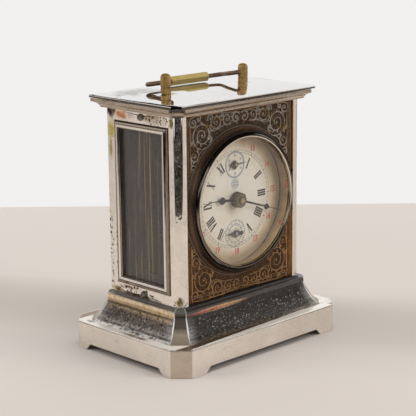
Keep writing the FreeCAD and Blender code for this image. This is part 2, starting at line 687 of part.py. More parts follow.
def make_rear_door():
    """Door on the back with its hinge pin and its turning latch."""
    body = new_body("rear_door")
    face = "-(body_depth / 2 - sheet_metal + 0.08)"
    sketch = body_sketch(body, "XZ_Plane", face)
    rectangle(sketch, "-door_width / 2", "dial_height - door_height / 2",
              "door_width / 2", "dial_height + door_height / 2")
    extrude(body, sketch, "1", reverse=True)
    strap = body_sketch(body, "XZ_Plane", face)
    low, high = "dial_height - door_height / 2 + 19.4", "dial_height + door_height / 2 - 19.4"
    rectangle(strap, "door_width / 2 - 1", low, "door_width / 2 + 2.6", high)
    extrude(body, strap, "1", reverse=True)
    knuckle = body_sketch(body, "XY_Plane", low)
    across, deep = "door_width / 2 + 2.6", "body_depth / 2 - sheet_metal + 1.3"
    circle(knuckle, across, deep, "1.2")
    extrude(body, knuckle, "door_height - 38.8")
    bore = body_sketch(body, "XY_Plane")
    circle(bore, across, deep, "0.6 + running_clearance")
    through(body, bore)
    hole = body_sketch(body, "XZ_Plane")
    circle(hole, "5 - door_width / 2", "dial_height", "0.9 + running_clearance")
    through(body, hole)
    pin = new_body("hinge_pin")
    for bottom, length, radius in (("dial_height - door_height / 2 + 11.4", "door_height - 23.3", "0.6"),
                                   ("dial_height + door_height / 2 - 11.9", "1", "1.2")):
        section = body_sketch(pin, "XY_Plane", bottom)
        circle(section, across, deep, radius)
        extrude(pin, section, length)
    back = size("body_depth") / 2 - size("sheet_metal") + 0.08
    centre = Vector(5 - size("door_width") / 2, back, size("dial_height"))
    knob = Part.makeCylinder(1.6, 1.6, centre + BACKWARDS * 1.03, BACKWARDS)
    knob = knob.fuse(Part.makeSphere(3.0, centre + BACKWARDS * 4.4))
    knob = knob.fuse(Part.makeCylinder(0.9, 6, centre + BACKWARDS * -3, BACKWARDS))
    tongue = Part.makeBox(2.6, 1, 7.6, centre + Vector(-1.3, -2.6, -6.2))
    shaped("door_knob", knob.fuse(tongue))


# --------------------------------------------------------------------------------------------------
# Base: the plate that the movement stands on, and the bell below it
# --------------------------------------------------------------------------------------------------


def make_seat_and_bell():
    seat = new_body("seat_plate")
    sketch = body_sketch(seat, "XY_Plane", "body_bottom")
    octagon(sketch, "body_width / 2 - 1.3", "body_depth / 2 - 2.6", "1.4")
    circle(sketch, "0", "0", "1.55")
    extrude(seat, sketch, "seat_thickness")
    slot = body_sketch(seat, "XY_Plane", "body_bottom")
    rectangle(slot, "25.5", "-15.8", "34", "-11")
    extrude(seat, slot, "seat_thickness", reverse=True, kind="Pocket")
    crest = "body_bottom - 3.3"
    steps = [("1.6", "0"), ("0.33 * bell_radius", "0"), ("0.66 * bell_radius", "-0.12 * bell_depth"),
             ("0.87 * bell_radius", "-0.36 * bell_depth"), ("0.97 * bell_radius", "-0.7 * bell_depth"),
             ("bell_radius", "-bell_depth")]
    outside = [(radius, crest + drop if drop[0] == "-" else crest) for radius, drop in steps]
    inside = [(radius if radius == "1.6" else radius + " - 0.9",
               (crest + drop if drop[0] == "-" else crest) + (" - 0.9" if drop != "-bell_depth" else ""))
              for radius, drop in steps[::-1]]
    turned_upright("bell", "0", outside + inside)
    turned_upright("bell_stud", "0", [
        ("0", "body_bottom - 8.4"), ("1.5", "body_bottom - 8.4"), ("1.5", "body_bottom - 3.3"),
        ("3.5", "body_bottom - 3.3"), ("3.5", "body_bottom"), ("1.5", "body_bottom"),
        ("1.5", "body_bottom + seat_thickness + 2.6"), ("0", "body_bottom + seat_thickness + 2.6")])


# --------------------------------------------------------------------------------------------------
# Movement: everything below is placed across and up from the dial's centre
# --------------------------------------------------------------------------------------------------

GREAT_MODULE = 0.5
CENTRE_MODULE = 0.4
THIRD_MODULE = 0.35
FOURTH_MODULE = 0.28
GREAT_TEETH, CENTRE_LEAVES = 72, 12
CENTRE_TEETH, THIRD_LEAVES = 64, 8
THIRD_TEETH, FOURTH_LEAVES = 60, 8
FOURTH_TEETH, ESCAPE_LEAVES = 70, 7
CANNON_LEAVES, MINUTE_TEETH = 12, 36
MINUTE_LEAVES, HOUR_TEETH = 10, 40
ALARM_TEETH, ALARM_LEAVES = 60, 8
HALF_TURN = math.pi


def polar(origin, distance, degrees):
    angle = math.radians(degrees)
    return origin[0] + distance * math.cos(angle), origin[1] + distance * math.sin(angle)


def bearing(start, end):
    """Direction from one axis to another, in radians: the phase that puts a tooth there."""
    return math.atan2(end[1] - start[1], end[0] - start[0])


def mesh_distance(module, wheel, pinion):
    return module * (wheel + pinion) / 2


def apex(base, top, from_base, from_top):
    """The point to the right of an upright line that lies at given distances from its ends."""
    gap = top[1] - base[1]
    rise = (from_base ** 2 - from_top ** 2 + gap ** 2) / (2 * gap)
    return math.sqrt(from_base ** 2 - rise ** 2), base[1] + rise


SUBDIAL = size("subdial_offset")
CENTRE = (0.0, 0.0)
SECONDS = (0.0, SUBDIAL)
ALARM = (0.0, -SUBDIAL)
THIRD = apex(CENTRE, SECONDS, mesh_distance(CENTRE_MODULE, CENTRE_TEETH, THIRD_LEAVES),
             mesh_distance(THIRD_MODULE, THIRD_TEETH, FOURTH_LEAVES))
ESCAPE = polar(SECONDS, mesh_distance(FOURTH_MODULE, FOURTH_TEETH, ESCAPE_LEAVES), 150)
PALLET = polar(ESCAPE, 9.8, 185)
BALANCE = polar(ESCAPE, 20.0, 185)
TIME_SPRING = polar(CENTRE, mesh_distance(GREAT_MODULE, GREAT_TEETH, CENTRE_LEAVES), 204)
ALARM_SPRING = (-TIME_SPRING[0], TIME_SPRING[1])
ALARM_ESCAPE = polar(ALARM_SPRING, mesh_distance(GREAT_MODULE, ALARM_TEETH, ALARM_LEAVES), 60)
HAMMER = (ALARM_ESCAPE[0] + 2.5, ALARM_ESCAPE[1] + 10)
HOUR_MODULE = SUBDIAL / HOUR_TEETH
MINUTE_DISTANCE = mesh_distance(HOUR_MODULE, MINUTE_LEAVES, HOUR_TEETH)
CANNON_MODULE = 2 * MINUTE_DISTANCE / (CANNON_LEAVES + MINUTE_TEETH)
MINUTE = polar(CENTRE, MINUTE_DISTANCE, 10)
STOP = (24.0, 32.0)
PILLARS = [(-34.0, 37.9), (34.0, 37.9), (-35.2, -46.5), (35.2, -46.5)]

# Each layer of the movement: where it starts and ends, backwards from the clock's middle.
GREAT_LAYER = (-9.8, -8.4)
CENTRE_PINION_LAYER = (-10.2, -8.0)
CENTRE_LAYER = (-12.8, -11.8)
THIRD_PINION_LAYER = (-13.3, -11.3)
THIRD_LAYER = (-15.0, -14.2)
FOURTH_PINION_LAYER = (-15.4, -13.8)
FOURTH_LAYER = (-17.2, -16.5)
ESCAPE_PINION_LAYER = (-17.5, -16.2)
ESCAPE_LAYER = (-6.0, -5.2)
CANNON_LAYER = (-20.7, -19.8)
MINUTE_LAYER = (-20.6, -19.9)
MINUTE_PINION_LAYER = (-22.8, -20.5)
HOUR_LAYER = (-22.6, -21.6)
ALARM_ESCAPE_LAYER = (-7.4, -6.6)
BALANCE_LAYER = (1.0, 2.8)
RATCHET_LAYER = (-7.9, -7.1)
SPRING_LAYER = (-6, 9.8)
SMALL_HAND_FRONT = -25.3
HOUR_HAND_FRONT = -26.3
MINUTE_HAND_FRONT = -29.3
WINDING_RADIUS = 1.8

FRONT_OUT = -size("front_plate_face")
FRONT_IN = FRONT_OUT + size("movement_plate")
REAR_IN = size("rear_plate_face")
REAR_OUT = REAR_IN + size("movement_plate")
CLEAR = size("running_clearance")


def place(axis, depth):
    """The point of an axis at a depth."""
    return Vector(axis[0], depth, size("dial_height") + axis[1])


def rod(axis, start, end, radius):
    """A round bar along a front-to-back axis."""
    return Part.makeCylinder(radius, end - start, place(axis, start), BACKWARDS)


def rim_point(axis, depth, radius, angle):
    """The point at a radius and an angle, in radians, about an axis."""
    return place((axis[0] + radius * math.cos(angle), axis[1] + radius * math.sin(angle)), depth)


def toothed(axis, start, end, teeth, module, phase, tip=0.85, root=1.2):
    """Straight-flanked gear; phase is the direction of one tooth's middle, in radians."""
    pitch = 2 * math.pi / teeth
    tip_radius = module * (teeth / 2 + tip)
    root_radius = module * (teeth / 2 - root)
    corners = ((root_radius, -0.23), (tip_radius, -0.09), (tip_radius, 0.09), (root_radius, 0.23))
    points = []
    for k in range(teeth):
        for radius, offset in corners:
            points.append(rim_point(axis, start, radius, phase + (k + offset) * pitch))
    return Part.Face(Part.makePolygon(points + points[:1])).extrude(BACKWARDS * (end - start))


def lightened(shape, axis, start, end, hub, rim, count=5):
    """Cut a ring of round holes between a wheel's hub and its rim."""
    middle, radius = (hub + rim) / 2, (rim - hub) / 2
    radius = min(radius, middle * math.sin(math.pi / count) * 0.82)
    for k in range(count):
        angle = 2 * math.pi * k / count + 0.3
        hole = (axis[0] + middle * math.cos(angle), axis[1] + middle * math.sin(angle))
        shape = shape.cut(rod(hole, start - 1, end + 1, radius))
    return shape


def pivoted(axis, radius, pivot, front=None, rear=None):
    """An arbor between the plates, its thin ends in their holes."""
    bar = rod(axis, FRONT_IN + 0.15, REAR_IN - 0.15, radius)
    bar = bar.fuse(rod(axis, FRONT_OUT - 0.2 if front is None else front, FRONT_IN + 0.2, pivot))
    return bar.fuse(rod(axis, REAR_IN - 0.2, REAR_OUT + 0.2 if rear is None else rear, pivot))


def gap_facing(start, end, teeth):
    """Phase that puts a gap, and not a tooth, on the line from one axis to another."""
    return bearing(start, end) + math.pi / teeth


def make_plates():
    """Front and rear plates with legs, bored for every arbor, and the pillars between them."""
    shared = [(SECONDS, 0.7), (THIRD, 0.7), (ESCAPE, 0.5), (PALLET, 0.7), (BALANCE, 0.7),
              (ALARM_ESCAPE, 0.7), (HAMMER, 0.7), (ALARM, 1.2)]
    holes = {"front_plate": shared + [(CENTRE, 2.25), (TIME_SPRING, 0.9), (ALARM_SPRING, 0.9)],
             "rear_plate": shared + [(CENTRE, 1.5), (TIME_SPRING, WINDING_RADIUS),
                                     (ALARM_SPRING, WINDING_RADIUS)]}
    foot = "body_bottom + seat_thickness"
    for label, face in (("front_plate", "front_plate_face"), ("rear_plate", "-rear_plate_face")):
        body = new_body(label)
        sketch = body_sketch(body, "XZ_Plane", face)
        wide = "movement_half_width"
        outline(sketch, [("-" + wide, foot), ("12 - " + wide, foot), ("12 - " + wide, foot + " + 8"),
                         (wide + " - 12", foot + " + 8"), (wide + " - 12", foot), (wide, foot),
                         (wide, "movement_top"), ("-" + wide, "movement_top")])
        for axis, radius in holes[label]:
            circle(sketch, "%.6f" % axis[0], "dial_height + %.6f" % axis[1],
                   "%g + running_clearance" % radius)
        for across, up in PILLARS:
            circle(sketch, "%g" % across, "dial_height + %g" % up, "1.2")
        extrude(body, sketch, "movement_plate", reverse=True)
        if label == "rear_plate":
            for axis, radius, bore in ((BALANCE, "2", "0.7 + running_clearance"), (STOP, "1.2", None)):
                boss = body_sketch(body, "XZ_Plane", "-rear_plate_face - movement_plate")
                circle(boss, "%.6f" % axis[0], "dial_height + %.6f" % axis[1], radius)
                if bore:
                    circle(boss, "%.6f" % axis[0], "dial_height + %.6f" % axis[1], bore)
                extrude(body, boss, "1.2", reverse=True)
        else:
            post = body_sketch(body, "XZ_Plane", "front_plate_face")
            circle(post, "%.6f" % MINUTE[0], "dial_height + %.6f" % MINUTE[1], "0.9")
            extrude(body, post, "3.4")
    bars = []
    for axis in PILLARS:
        bar = rod(axis, FRONT_IN, REAR_IN, 1.8)
        bars.append(bar.fuse(rod(axis, FRONT_OUT - 1.5, REAR_OUT + 1.7, 1.15)))
    shaped("pillars", Part.makeCompound(bars))


def hex_nut(centre, direction, flats, bore, thickness):
    """A nut standing on a point, along a direction."""
    corner = flats / 2 / math.cos(math.pi / 6)
    side = Vector(1, 0, 0) * corner
    other = direction.cross(side)
    angles = [math.pi / 3 * k for k in range(6)]
    points = [centre + side * math.cos(angle) + other * math.sin(angle) for angle in angles]
    nut = Part.Face(Part.makePolygon(points + points[:1])).extrude(direction * thickness)
    start = centre - direction * (thickness + 1)
    return nut.cut(Part.makeCylinder(bore, 2 * thickness + 2, start, direction))


def make_nuts():
    """Every hexagonal nut: under the cornice, on the bell's stud and on the pillars."""
    nuts = []
    web = size("cornice_top") - size("sheet_metal")
    for side in (-1, 1):
        under = Vector(side * size("post_spacing") / 2, 0, web)
        nuts.append(hex_nut(under, -UP, 5.5, POST_SHANK + 0.02, 2.2))
    seat = size("body_bottom") + size("seat_thickness")
    nuts.append(hex_nut(Vector(0, 0, seat), UP, 5.5, 1.52, 2.2))
    nuts.append(hex_nut(Vector(0, 0, size("body_bottom") - 4.2), -UP, 5.5, 1.52, 2.2))
    for axis in PILLARS:
        nuts.append(hex_nut(place(axis, FRONT_OUT), -BACKWARDS, 4.0, 1.17, 1.3))
        nuts.append(hex_nut(place(axis, REAR_OUT), BACKWARDS, 4.0, 1.17, 1.5))
    shaped("hex_nuts", Part.makeCompound(nuts))


def spiral(axis, start, end, inner, pitch, half_turns, thickness):
    """A coiled strip made of half circles about two centres in turn."""
    centres = [axis, (axis[0] + pitch / 2, axis[1])]
    edges = []
    for extra in (0.0, thickness):
        for k in range(half_turns):
            centre = centres[k % 2]
            radius = inner + k * pitch / 2 + extra
            begin = 0.0 if k % 2 == 0 else HALF_TURN
            angles = (begin, begin + HALF_TURN / 2, begin + HALF_TURN)
            edges.append(Part.Arc(*[rim_point(centre, start, radius, a) for a in angles]).toShape())
    first, last = edges[:half_turns], edges[half_turns:]
    edges.append(Part.LineSegment(first[0].valueAt(first[0].FirstParameter),
                                  last[0].valueAt(last[0].FirstParameter)).toShape())
    edges.append(Part.LineSegment(first[-1].valueAt(first[-1].LastParameter),
                                  last[-1].valueAt(last[-1].LastParameter)).toShape())
    wire = Part.Wire(Part.__sortEdges__(edges))
    return Part.Face(wire).extrude(BACKWARDS * (end - start))


def make_springs():
    """Both mainsprings and the balance's hairspring."""
    shaped("time_mainspring", spiral(TIME_SPRING, *SPRING_LAYER, 3.4, 2.0, 14, 0.5))
    shaped("alarm_mainspring", spiral(ALARM_SPRING, *SPRING_LAYER, 3.4, 2.0, 11, 0.5))
    shaped("hairspring", spiral(BALANCE, 5.2, 5.9, 1.5, 0.9, 9, 0.15))


def ratchet(axis, start, end, radius, teeth):
    """Saw-toothed wheel on a winding arbor."""
    points = []
    for k in range(teeth):
        angle = 2 * math.pi * k / teeth
        points.append(rim_point(axis, start, radius, angle))
        points.append(rim_point(axis, start, radius - 1, angle + 0.05))
    return Part.Face(Part.makePolygon(points + points[:1])).extrude(BACKWARDS * (end - start))


def winding_arbor(axis):
    """Arbor that winds a mainspring: its hub, its ratchet and its end for the key."""
    hub_start = GREAT_LAYER[1] + 0.4
    bar = rod(axis, FRONT_IN + 0.15, hub_start, WINDING_RADIUS)
    bar = bar.fuse(rod(axis, FRONT_OUT - 0.2, FRONT_IN + 0.2, 0.9))
    bar = bar.fuse(rod(axis, hub_start, REAR_IN - 0.15, 2.4))
    bar = bar.fuse(rod(axis, REAR_IN - 0.2, 18.0, WINDING_RADIUS))
    return bar.fuse(ratchet(axis, *RATCHET_LAYER, 6.0, 18))


def winding_key(axis, lean):
    """Two-winged key on the end of a winding arbor, turned by an angle in degrees."""
    wings = []
    for side in (-1, 1):
        centre = place((axis[0] + side * 4.6, axis[1]), 21.6)
        lobe = Part.makeCylinder(4.2, 1.4, centre - UP * 0.7, UP)
        wings.append(lobe.cut(Part.makeCylinder(2.0, 3, centre - UP * 1.5, UP)))
    bow = wings[0].fuse(wings[1])
    bow.rotate(place(axis, 0), BACKWARDS, lean)
    hub = rod(axis, 14.4, 20.5, 3.0)
    return hub.fuse(bow).cut(rod(axis, 10, 18.02, WINDING_RADIUS + 0.02))


def make_winding():
    """Great wheels, loose on their arbors, and the arbors with ratchets and keys."""
    for name, axis, teeth, meshing, lean in (("time", TIME_SPRING, GREAT_TEETH, CENTRE, 20),
                                             ("alarm", ALARM_SPRING, ALARM_TEETH, ALARM_ESCAPE, -35)):
        wheel = toothed(axis, *GREAT_LAYER, teeth, GREAT_MODULE, bearing(axis, meshing))
        wheel = lightened(wheel, axis, *GREAT_LAYER, 5.0, GREAT_MODULE * teeth / 2 - 2)
        shaped(name + "_great_wheel", wheel.cut(rod(axis, -20, 10, WINDING_RADIUS + CLEAR)))
        shaped(name + "_winding_arbor", winding_arbor(axis))
        shaped(name + "_key", winding_key(axis, lean))


def make_going_train():
    """Centre, third, fourth and escape wheels, each with its pinion on its arbor."""
    pinion = toothed(CENTRE, *CENTRE_PINION_LAYER, CENTRE_LEAVES, GREAT_MODULE,
                     gap_facing(CENTRE, TIME_SPRING, CENTRE_LEAVES))
    wheel = toothed(CENTRE, *CENTRE_LAYER, CENTRE_TEETH, CENTRE_MODULE, bearing(CENTRE, THIRD))
    wheel = lightened(wheel, CENTRE, *CENTRE_LAYER, 3.6, 11.2)
    pipe = rod(CENTRE, FRONT_IN + 0.2, -7.0, 2.3)
    shaped("centre_wheel", pinion.fuse(pipe).fuse(wheel).cut(rod(CENTRE, -30, 20, 1.5 + CLEAR)))

    pinion = toothed(THIRD, *THIRD_PINION_LAYER, THIRD_LEAVES, CENTRE_MODULE,
                     gap_facing(THIRD, CENTRE, THIRD_LEAVES))
    wheel = toothed(THIRD, *THIRD_LAYER, THIRD_TEETH, THIRD_MODULE, bearing(THIRD, SECONDS))
    wheel = lightened(wheel, THIRD, *THIRD_LAYER, 2.4, 9.0)
    shaped("third_wheel", pivoted(THIRD, 0.9, 0.7).fuse(pinion).fuse(wheel))

    pinion = toothed(SECONDS, *FOURTH_PINION_LAYER, FOURTH_LEAVES, THIRD_MODULE,
                     gap_facing(SECONDS, THIRD, FOURTH_LEAVES))
    wheel = toothed(SECONDS, *FOURTH_LAYER, FOURTH_TEETH, FOURTH_MODULE, bearing(SECONDS, ESCAPE))
    wheel = lightened(wheel, SECONDS, *FOURTH_LAYER, 2.2, 8.4)
    arbor = pivoted(SECONDS, 0.8, 0.7, front=SMALL_HAND_FRONT - 0.1)
    shaped("fourth_wheel", arbor.fuse(pinion).fuse(wheel))

    pinion = toothed(ESCAPE, *ESCAPE_PINION_LAYER, ESCAPE_LEAVES, FOURTH_MODULE,
                     gap_facing(ESCAPE, SECONDS, ESCAPE_LEAVES), tip=0.6)
    wheel = ratchet(ESCAPE, *ESCAPE_LAYER, 7.0, 15)
    wheel = lightened(wheel, ESCAPE, *ESCAPE_LAYER, 2.0, 5.2, 4)
    shaped("escape_wheel", pivoted(ESCAPE, 0.6, 0.5).fuse(pinion).fuse(wheel))


def make_escapement():
    """Pin-pallet lever with its fork, and the balance wheel with its roller."""
    # The lever is drawn about its own axis, the escape wheel to its right, then put in place.
    head = Part.makeBox(3.6, 0.8, 10.4, Vector(-1.6, 0, -5.2))
    tail = Part.makeBox(7.4, 0.8, 1.4, Vector(-7.4, 0, -0.7))
    fork = Part.makeBox(0.8, 0.8, 2.1, Vector(-7.8, 0, -1.05))
    horns = [Part.makeBox(1.6, 0.8, 0.5, Vector(-8.8, 0, level)) for level in (-1.05, 0.55)]
    pins = [Part.makeCylinder(0.35, 2.4, Vector(1.5, 0, level), BACKWARDS) for level in (-4.6, 4.6)]
    turn_to = FreeCAD.Rotation(BACKWARDS, -math.degrees(bearing(PALLET, ESCAPE)))
    lever = pivoted(PALLET, 0.9, 0.7)
    for piece in [head, tail, fork] + horns + pins:
        piece.Placement = FreeCAD.Placement(place(PALLET, -7.6), turn_to) * piece.Placement
        lever = lever.fuse(piece)
    shaped("pallet_lever", lever)

    wheel = rod(BALANCE, *BALANCE_LAYER, 9.0).cut(rod(BALANCE, 0, 4, 7.6))
    bar = Part.makeBox(16.2, 0.9, 1.8, place(BALANCE, 1.4) - Vector(8.1, 0, 0.9))
    bar.rotate(place(BALANCE, 0), BACKWARDS, 35)
    roller = rod(BALANCE, -6.4, -5.6, 1.5)
    shaped("balance_wheel", pivoted(BALANCE, 0.8, 0.7).fuse(wheel).fuse(bar).fuse(roller))


def blade(axis, front, thickness, profile, degrees):
    """A flat hand; its profile is pairs of distance along it and half its width."""
    angle = math.radians(degrees)
    edge = profile + [(along, -half) for along, half in reversed(profile)]
    points = [place((axis[0] + along * math.cos(angle) - half * math.sin(angle),
                     axis[1] + along * math.sin(angle) + half * math.cos(angle)), front)
              for along, half in edge]
    return Part.Face(Part.makePolygon(points + points[:1])).extrude(BACKWARDS * thickness)


def spade_profile(tail, stem, spade_at, spade, length):
    """Tapering stem, pear-shaped spade and fine point."""
    return [(-tail, 0.5 * stem), (spade_at - spade, 0.42 * stem), (spade_at - 0.55 * spade, 0.62 * spade),
            (spade_at, 0.92 * spade), (spade_at + 0.45 * spade, 0.8 * spade),
            (spade_at + 0.95 * spade, 0.36 * spade), (spade_at + 1.5 * spade, 0.24), (length, 0.14)]


def lobed_boss(axis, start, end, radius):
    """Thick round boss with eight hollows in its rim, for the fingers."""
    boss = rod(axis, start, end, radius)
    for k in range(8):
        boss = boss.cut(rod(polar(axis, radius + 0.6, 45 * k + 20), start - 1, end + 1, 0.95))
    return boss


def make_main_hands():
    """Hour and minute hands, with the centre arbor that carries the minute hand."""
    shoulder = MINUTE_HAND_FRONT + 1.9
    arbor = rod(CENTRE, shoulder, FRONT_IN - 0.1, 2.2)
    arbor = arbor.fuse(rod(CENTRE, MINUTE_HAND_FRONT - 1, shoulder, 1.5))
    arbor = arbor.fuse(rod(CENTRE, FRONT_IN - 0.2, 18, 1.5))
    cannon = toothed(CENTRE, *CANNON_LAYER, CANNON_LEAVES, CANNON_MODULE,
                     gap_facing(CENTRE, MINUTE, CANNON_LEAVES))
    shaped("centre_arbor", arbor.fuse(cannon))

    minute = blade(CENTRE, MINUTE_HAND_FRONT + 0.3, 0.6, spade_profile(2, 1.3, 23.2, 2.0, 36.2), -18.5)
    minute = minute.fuse(lobed_boss(CENTRE, MINUTE_HAND_FRONT, shoulder, 4.4))
    minute = minute.cut(rod(CENTRE, -40, 0, 1.5))
    dome = Part.makeSphere(1.9, place(CENTRE, MINUTE_HAND_FRONT), BACKWARDS, -90, 0, 360)
    minute = minute.fuse(dome.cut(rod(CENTRE, MINUTE_HAND_FRONT - 1.02, 0, 1.5)))
    shaped("minute_hand", minute)

    hour = blade(CENTRE, HOUR_HAND_FRONT, 0.6, spade_profile(2, 1.6, 12.4, 2.5, 23.6), 175)
    hour = hour.fuse(lobed_boss(CENTRE, HOUR_HAND_FRONT - 0.3, SMALL_HAND_FRONT + 0.4, 4.7))
    shaped("hour_hand", hour.cut(rod(CENTRE, -40, 0, 3.1)))


def make_small_hands():
    """Seconds hand with a trefoil tail and leaf-shaped alarm hand."""
    seconds = blade(SECONDS, SMALL_HAND_FRONT, 0.4, [(0, 0.4), (4.6, 0.32), (7.8, 0.12)], 4)
    for back, across in ((1.2, 1.4), (1.2, -1.4), (3.5, 0)):
        lobe = (SECONDS[0] - back, SECONDS[1] + across)
        seconds = seconds.fuse(rod(lobe, SMALL_HAND_FRONT, SMALL_HAND_FRONT + 0.4, 1.35))
    seconds = seconds.fuse(rod(SECONDS, SMALL_HAND_FRONT, SMALL_HAND_FRONT + 0.4, 1.5))
    shaped("seconds_hand", seconds.cut(rod(SECONDS, -40, 0, 0.7)))

    leaf = [(-3.6, 0.9), (-2.2, 1.3), (0, 2.1), (1.6, 1.8), (3.2, 1.0), (5.4, 0.4), (8.1, 0.14)]
    alarm = blade(ALARM, SMALL_HAND_FRONT, 0.4, leaf, 176)
    tail = polar(ALARM, 4.4, -4)
    alarm = alarm.fuse(rod(tail, SMALL_HAND_FRONT, SMALL_HAND_FRONT + 0.4, 1.3))
    shaped("alarm_hand", alarm.cut(rod(ALARM, -40, 0, 1.2)))


def make_motion_work():
    """Wheels behind the dial that divide by twelve, and the alarm's setting wheel."""
    wheel = toothed(MINUTE, *MINUTE_LAYER, MINUTE_TEETH, CANNON_MODULE, bearing(MINUTE, CENTRE))
    wheel = lightened(wheel, MINUTE, *MINUTE_LAYER, 2.6, 8.2)
    leaves = toothed(MINUTE, *MINUTE_PINION_LAYER, MINUTE_LEAVES, HOUR_MODULE,
                     gap_facing(MINUTE, CENTRE, MINUTE_LEAVES))
    shaped("minute_wheel", wheel.fuse(leaves).cut(rod(MINUTE, -24, -18, 0.9 + CLEAR)))

    hour_phase = bearing(CENTRE, MINUTE)
    wheel = toothed(CENTRE, *HOUR_LAYER, HOUR_TEETH, HOUR_MODULE, hour_phase)
    wheel = lightened(wheel, CENTRE, *HOUR_LAYER, 3.8, 9.2)
    pipe = rod(CENTRE, HOUR_HAND_FRONT - 0.3, HOUR_LAYER[1] + 0.4, 3.1)
    shaped("hour_wheel", wheel.fuse(pipe).cut(rod(CENTRE, -30, -18, 2.2 + CLEAR)))

    # The alarm wheel turns with the hour wheel: its gap meets the tooth nearest the line of centres.
    pitch = 2 * math.pi / HOUR_TEETH
    line = bearing(CENTRE, ALARM)
    ahead = (hour_phase - line) % pitch
    wheel = toothed(ALARM, *HOUR_LAYER, HOUR_TEETH, HOUR_MODULE, line + math.pi - ahead + pitch / 2)
    wheel = lightened(wheel, ALARM, *HOUR_LAYER, 3.2, 9.2)
    hub = rod(ALARM, -22.9, -20.4, 2.4)
    shaped("alarm_wheel", wheel.fuse(hub).cut(rod(ALARM, -30, -18, 1.2 + CLEAR)))
    shaped("alarm_arbor", rod(ALARM, SMALL_HAND_FRONT - 0.2, 17.5, 1.2))


def make_knobs():
    """Knurled knobs behind the rear plate that set the time and the alarm."""
    for label, axis, radius, bore, start, end in (("set_knob", CENTRE, 6.0, 1.5, 14.0, 18),
                                                  ("alarm_knob", ALARM, 4.8, 1.2, 14.6, 17.5)):
        knob = rod(axis, start, start + 3.2, radius)
        knob = knob.fuse(rod(axis, start + 3.0, start + 5.2, radius * 0.55))
        for k in range(24):
            knob = knob.cut(rod(polar(axis, radius, 15 * k), start - 1, start + 4, 0.35))
        shaped(label, knob.cut(rod(axis, start - 1, end + 0.02, bore)))


def make_alarm_work():
    """Alarm's escape wheel, the hammer that reaches down to the bell, and its stop lever."""
    pinion = toothed(ALARM_ESCAPE, *CENTRE_PINION_LAYER, ALARM_LEAVES, GREAT_MODULE,
                     gap_facing(ALARM_ESCAPE, ALARM_SPRING, ALARM_LEAVES))
    wheel = ratchet(ALARM_ESCAPE, *ALARM_ESCAPE_LAYER, 6.0, 12)
    shaped("alarm_escape_wheel", pivoted(ALARM_ESCAPE, 0.8, 0.7).fuse(pinion).fuse(wheel))

    arm = pivoted(HAMMER, 0.9, 0.7)
    left = HAMMER[0] + 0.3
    bottom = size("body_bottom") - 12.3
    top = size("dial_height") + HAMMER[1]
    arm = arm.fuse(Part.makeBox(2.0, 1.2, top - bottom, Vector(left, -14.0, bottom)))
    arm = arm.fuse(Part.makeBox(6.0, 1.2, 2.4, Vector(HAMMER[0] - 3, -7.6, top - 2.6)))
    arm = arm.fuse(Part.makeCylinder(2.4, 6.4, Vector(left - 5.4, -13.4, bottom), Vector(1, 0, 0)))
    shaped("alarm_hammer", arm)

    start, end = REAR_OUT + CLEAR, REAR_OUT + 0.8
    lever = rod(STOP, start, end, 3.2)
    lever = lever.fuse(Part.makeBox(2.4, end - start, 13.5, place(STOP, start) - Vector(1.2, 0, 0)))
    lever = lever.fuse(rod((STOP[0], STOP[1] + 13.0), start, end + 1.2, 2.0))
    shaped("alarm_stop_lever", lever.cut(rod(STOP, start - 1, end + 1, 1.2 + CLEAR)))

    regulator = rod(BALANCE, start, end, 3.6)
    blade = Part.makeBox(1.6, end - start, 14.0, place(BALANCE, start) - Vector(0.8, 0, 0))
    blade.rotate(place(BALANCE, 0), BACKWARDS, 20)
    shaped("regulator_lever", regulator.fuse(blade).cut(rod(BALANCE, start - 1, end + 1, 2.0 + CLEAR)))


# --------------------------------------------------------------------------------------------------
# Run
# --------------------------------------------------------------------------------------------------


def main():
    make_plinth()
    make_base_moulding()
    for label, side in (("side_panel_left", -1), ("side_panel_right", 1)):
        make_side_panel(label, side)
        drill_screw_holes(SUBPARTS[-1])
    make_window_frame("window_frame_left", -1)
    make_window_frame("window_frame_right", 1)
    make_side_glasses()
    make_case_screws()
    make_cornice()
    make_top_plate()
    make_handle_posts()
    make_handle()
    make_front_mask()
    make_bezel_and_glass()
    make_dial()
    make_back_frame()
    make_rear_door()
    make_seat_and_bell()
    make_plates()
    make_nuts()
    make_springs()
    make_winding()
    make_going_train()
    make_escapement()
    make_main_hands()
    make_small_hands()
    make_motion_work()
    make_knobs()
    make_alarm_work()


def write_subparts():
    doc.recompute()
    for item in doc.Objects:
        if "Invalid" in item.State or "Error" in item.State:
            raise RuntimeError("%s did not compute: %s" % (item.Label, item.State))
    os.makedirs("parts", exist_ok=True)
    for item in SUBPARTS:
        if item.Shape.isNull() or not item.Shape.isValid():
            raise RuntimeError("%s has no valid shape" % item.Label)
        item.Shape.exportStep("parts/%s.step" % item.Label)


main()
write_subparts()
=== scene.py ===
import random
from math import cos, hypot, pi, radians, sin, sqrt, tau

import bpy
from mathutils import Matrix, Vector


